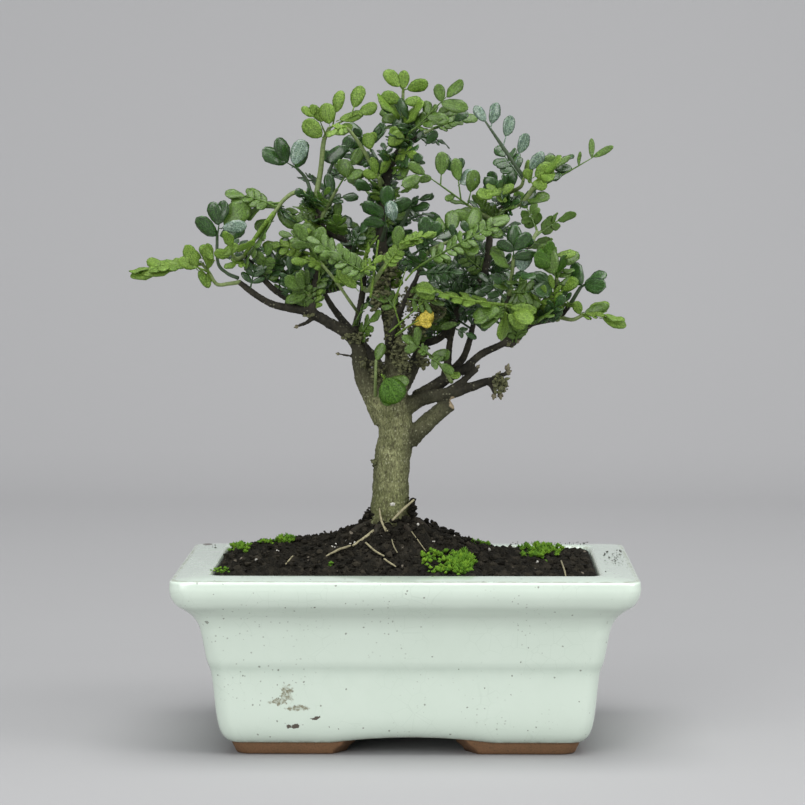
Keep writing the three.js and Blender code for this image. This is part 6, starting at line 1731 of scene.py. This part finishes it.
def inner_fronds(values):
    """Rows of foot, tip, pairs, leaflet length, breadth, face and tone of the small fronds inside the crown, then
    of the front leaves. Each small frond starts on a branch, leaves it sideways and upward, and is kept if its tip
    is seen inside one of the crown's ovals."""
    rng = np.random.default_rng(41)
    lines = [through(row, np.linspace(0, 1, 8 * len(row))) for row in limb_rows()]
    lines = [line[(line[:, 3] < FROND_WOOD) & (line[:, 2] > FROND_LOWEST)] for line in lines]
    lines = [np.column_stack([line, np.gradient(line[:, :3], axis=0)]) for line in lines if len(line) > 2]
    wood = np.vstack(lines)
    ovals = np.array(CROWN)
    tries = wood[rng.integers(0, len(wood), FROND_TRIES * values.inner)]
    way = rng.normal(0, 1, (len(tries), 3)) + np.array([0, -0.15, 0.45])
    grain = unit(tries[:, 4:])
    way = unit(unit(way - (way * grain).sum(1, keepdims=True) * grain) + 0.4 * grain)
    reach = rng.uniform(*FROND_REACH, len(tries))
    tip = tries[:, :3] + way * reach[:, None]
    seen = seen_from_front(tip)
    off = np.linalg.norm((seen[:, None] - ovals[None, :, :2]) / ovals[None, :, 2:4], axis=-1)
    home = off.argmin(1)
    draw = (off.min(1) < 1) * ovals[home, 4] / ovals[:, 4].max()
    kept = np.flatnonzero((rng.random(len(tries)) < draw) & (np.abs(tip[:, 1]) < FROND_DEPTH))[:values.inner]
    # Painted shade: fronds whose tips lie behind the pot's middle take the dark tone more often
    shade = rng.random(len(kept)) - 0.2 * (tip[kept, 1] > 0)
    tones = np.where(shade < ovals[home[kept], 6], "dark", np.where(shade > 1 - ovals[home[kept], 7], "light", "mid"))
    faces = np.where(rng.random(len(kept)) < 0.5, "front", "half")
    sizes = ovals[home[kept], 5] * rng.uniform(0.8, 1.2, len(kept))
    breadth = rng.uniform(0.6, 1.0, len(kept))
    pairs = rng.integers(1, 5, len(kept))
    inner = [(tries[k, :3], tip[k], int(pair), *rest)
             for k, pair, *rest in zip(kept, pairs, sizes, breadth, faces, tones)]
    return inner + [front_leaf(*row) for row in FRONT_LEAVES]


def spray_parts(number, thick, stem, leaves, fronds, values):
    """A stem tapering from its first radius to its second, with a leaf at each of its places, and the small fronds
    of the crown that are nearest to it."""
    rng = np.random.default_rng(100 + number)
    parts = Parts()
    points = place(stem)
    tones = {row[9] for row in leaves}
    # A spray of only dark leaves takes the dark stem, partly painted shade like its leaves
    cord = "dark stem" if tones == {"dark"} else "stem"
    add_tube(parts, points, [1.15 * r for r in thick], 8, 6 * len(stem), slot=SLOTS.index(cord), tint=0.3)
    for at, x, y, z, *rest in leaves:
        add_leaf(parts, rng, through(points, [at])[0], place([(x, y, z)])[0], *rest, values=values)
    for foot, tip, pairs, size, broad, face, tone in fronds:
        add_leaf(parts, rng, foot, tip, pairs, size, 0.1, 0.08 * size, face, tone, broad, values=values)
    return parts


# Operators


class BuildPot(bpy.types.Operator):
    """Builds the glazed body with its two drain holes and its four bare clay feet"""
    bl_idname = "bonsai.pot"
    bl_label = "Pot"

    def execute(self, context):
        values = context.scene.bonsai_pot
        body = glazed_body().piece("pot_glazed_body", [glaze_material(values)])
        pierce(body)
        finish_piece(body, "pot_glaze", "pot")
        feet = feet_parts().piece("pot_feet", [clay_material(values)])
        finish_piece(feet, "pot_glaze")
        return {"FINISHED"}


class FinishScreens(bpy.types.Operator):
    """Gives the two drain screens their black plastic"""
    bl_idname = "bonsai.screens"
    bl_label = "Drain screens"

    def execute(self, context):
        plastic = screen_material()
        screens = [obj for name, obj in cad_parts.items() if "screen" in name]
        if len(screens) != 2:
            raise RuntimeError("the frame should hold two drain screens")
        for screen in screens:
            screen.data.materials.clear()
            screen.data.materials.append(plastic)
        return {"FINISHED"}


class BuildSoil(bpy.types.Operator):
    """Builds the mounded soil and the loose crumbs on it"""
    bl_idname = "bonsai.soil"
    bl_label = "Soil"

    def execute(self, context):
        values = context.scene.bonsai_soil
        earth = soil_material(values)
        finish_piece(soil_parts().piece("soil_bed", [earth]), "soil", "soil")
        finish_piece(crumb_parts(values).piece("soil_crumbs", [earth], smooth=False), "soil")
        return {"FINISHED"}


class BuildLitter(bpy.types.Operator):
    """Lays the dry straws and the white grains on the soil"""
    bl_idname = "bonsai.litter"
    bl_label = "Litter"

    def execute(self, context):
        values = context.scene.bonsai_soil
        straw = plain_grain_material("Dry straw", values.straw, GREY_STRAW, 700.0, 0.8)
        grain = plain_grain_material("Perlite", values.perlite, DULL_PERLITE, 900.0, 0.85)
        finish_piece(straw_parts().piece("soil_straws", [straw]), "soil")
        finish_piece(grain_parts().piece("soil_white_grains", [grain], smooth=False), "soil")
        return {"FINISHED"}


class BuildMoss(bpy.types.Operator):
    """Grows the cushions of moss"""
    bl_idname = "bonsai.moss"
    bl_label = "Moss"

    def execute(self, context):
        green = moss_material(context.scene.bonsai_soil)
        finish_piece(moss_parts().piece("moss_cushions", [green]), "soil")
        return {"FINISHED"}


class BuildWood(bpy.types.Operator):
    """Fuses trunk, limbs and surface roots into one piece with fissured bark, and adds the buds"""
    bl_idname = "bonsai.wood"
    bl_label = "Wood"

    def execute(self, context):
        values = context.scene.bonsai_tree
        wood = fused_wood(values).piece("bark_wood", [bark_material(values)])
        if len(wood.data.polygons) > MOST_WOOD_FACES:
            raise RuntimeError("the wood's cells are too fine")
        finish_piece(wood, "bark", "tree_wood")
        lichen = plain_grain_material("Lichen", values.lichen, DARK_LICHEN, 700.0, 0.9)
        finish_piece(burr_parts().piece("bark_lichen", [lichen], smooth=False), "bark")
        scales = plain_grain_material("Bud scales", BUD_SCALE, BUD_TIP, 900.0, 0.6)
        finish_piece(bud_parts().piece("bud_scales", [scales]), "bark")
        return {"FINISHED"}


class BuildSprays(bpy.types.Operator):
    """Builds every spray of leaves with its stem, ribs and leaflets"""
    bl_idname = "bonsai.sprays"
    bl_label = "Sprays"

    def execute(self, context):
        values = context.scene.bonsai_leaves
        tones = [leaf_material(label, getattr(values, tone), *finish)
                 for tone, (label, *finish) in LEAF_FINISH.items()]
        stems = [plain_grain_material(*finish) for finish in STEM_FINISH]
        fronds = inner_fronds(values)
        feet = np.array([frond[0] for frond in fronds])
        lines = [through(place(row[2]), np.linspace(0, 1, 12)) for row in SPRAYS]
        far = np.stack([np.linalg.norm(feet[:, None] - line[None], axis=-1).min(1) for line in lines], 1)
        owner = far.argmin(1)
        heads = place([stalk[0][0] for stalk in STALKS])
        holder = [int(np.argmin([np.linalg.norm(line - head, axis=-1).min() for line in lines])) for head in heads]
        for number, (name, thick, points, leaves) in enumerate(SPRAYS):
            own = [fronds[k] for k in np.flatnonzero(owner == number)]
            parts = spray_parts(number, thick, points, leaves, own, values)
            for k in np.flatnonzero(np.array(holder) == number):
                line, radius, tone = STALKS[k]
                slot = SLOTS.index(tone)
                add_tube(parts, place(line), [radius, 0.7 * radius], 6, 14, flat=0.6, slot=slot, tint=0.9)
            spray = parts.piece(name + "_leaves", [*tones, *stems])
            # A spray led by a leaf with painted glare takes the finish name of dark leaves, its leaves' own tone
            tone = {"silver": "dark", "bright": "light"}.get(leaves[0][9], leaves[0][9])
            finish_piece(spray, "leaf_" + tone, name)
        return {"FINISHED"}


# The paper under and behind the pot, in metres: its near edge, where it bends up, the bend's radius, its top and
# half its width
SHEET_NEAR = -2.6
BEND_START = 1.1
BEND_RADIUS = 0.8
SHEET_TOP = 3.4
SHEET_HALF = 4
# Light of the room: tone and strength
ROOM_TONE = (0.9, 0.95, 1.0, 1)
ROOM_STRENGTH = 0.42
SENSOR_WIDTH = 36
# Lights: name, place and aim in metres, width, the setting that gives the power, and the share of it
LIGHTS = [
    ("overhead light", (0.05, -0.25, 1.5), (0, 0, 0.1), 1.3, "key", 1),
    ("front light", (-0.9, -1.75, 0.7), (0, 0, 0.15), 1.2, "fill", 1),
    ("right light", (1.4, -0.7, 0.7), (0, 0, 0.15), 0.9, "fill", 0.6),
]


class BuildStage(bpy.types.Operator):
    """Sets the floor and backdrop, the soft lights and the camera at the photo's angle"""
    bl_idname = "bonsai.stage"
    bl_label = "Stage"

    def execute(self, context):
        values = context.scene.bonsai_studio
        material, nodes, shader = principled("Pale paper")
        back = nodes.add("ShaderNodeSeparateXYZ", {0: nodes.here()}).outputs[1]
        tone = nodes.mix(nodes.ramp(back, 0.25, 1.3, smooth=False), tuple(values.floor), tuple(values.paper))
        connect(nodes, shader, Base_Color=nodes.tinge(tone, nodes.patches(0.8), 0.03, GREY_PAPER), Roughness=0.9)
        angle = np.linspace(0, 0.5 * np.pi, 24)
        bend = np.stack([BEND_START + BEND_RADIUS * np.sin(angle), BEND_RADIUS * (1 - np.cos(angle))], 1)
        profile = np.vstack([[SHEET_NEAR, 0], bend, [BEND_START + BEND_RADIUS, SHEET_TOP]])
        x = np.linspace(-SHEET_HALF, SHEET_HALF, 9)
        sheet = np.stack(np.broadcast_arrays(x[None, :], profile[:, :1], profile[:, 1:]), -1) * 1000 - POT_MIDDLE
        parts = Parts()
        parts.add(sheet, grid_faces(len(profile), len(x)))
        paper = parts.piece("studio_paper", [material])
        for name, at, aim, size, source, share in LIGHTS:
            data = bpy.data.lights.new(name, "AREA")
            data.energy, data.size, data.shape = share * getattr(values, source), size, "SQUARE"
            aim_at(link(bpy.data.objects.new(name, data)), at, aim)
        world = bpy.data.worlds.new("Pale room")
        world.use_nodes = True
        background = next(n for n in world.node_tree.nodes if n.type == "BACKGROUND")
        background.inputs["Color"].default_value = ROOM_TONE
        background.inputs["Strength"].default_value = ROOM_STRENGTH
        context.scene.world = world
        camera = link(bpy.data.objects.new("camera", bpy.data.cameras.new("camera")))
        camera.data.lens, camera.data.sensor_width = values.lens, SENSOR_WIDTH
        aim_at(camera, np.array(values.eye) / 1000, np.array(values.aim) / 1000)
        context.scene.camera = camera
        context.scene.view_settings.view_transform = "Standard"
        return {"FINISHED"}


STEPS = [BuildPot, FinishScreens, BuildSoil, BuildLitter, BuildMoss, BuildWood, BuildSprays, BuildStage]
VALUES = {
    "bonsai_pot": PotValues, "bonsai_soil": SoilValues, "bonsai_tree": TreeValues, "bonsai_leaves": LeafValues,
    "bonsai_studio": StudioValues,
}


class BonsaiPanel(bpy.types.Panel):
    """Lists the steps and the values that they use"""
    bl_idname = "VIEW3D_PT_bonsai"
    bl_label = "Bonsai"
    bl_space_type = "VIEW_3D"
    bl_region_type = "UI"
    bl_category = "Bonsai"

    def draw(self, context):
        for step in STEPS:
            self.layout.operator(step.bl_idname)
        for holder, kind in VALUES.items():
            box = self.layout.box()
            for key in kind.__annotations__:
                box.prop(getattr(context.scene, holder), key)


def register():
    for kind in [*VALUES.values(), *STEPS, BonsaiPanel]:
        bpy.utils.register_class(kind)
    for holder, kind in VALUES.items():
        setattr(bpy.types.Scene, holder, bpy.props.PointerProperty(type=kind))


def unregister():
    for holder in VALUES:
        delattr(bpy.types.Scene, holder)
    for kind in [BonsaiPanel, *STEPS[::-1], *VALUES.values()]:
        bpy.utils.unregister_class(kind)


def main():
    """Runs every step in order."""
    register()
    for step in STEPS:
        area, name = step.bl_idname.split(".")
        if getattr(getattr(bpy.ops, area), name)() != {"FINISHED"}:
            raise RuntimeError(f"{step.bl_label} could not finish")
    bpy.context.view_layer.update()


if __name__ == "__main__":
    main()
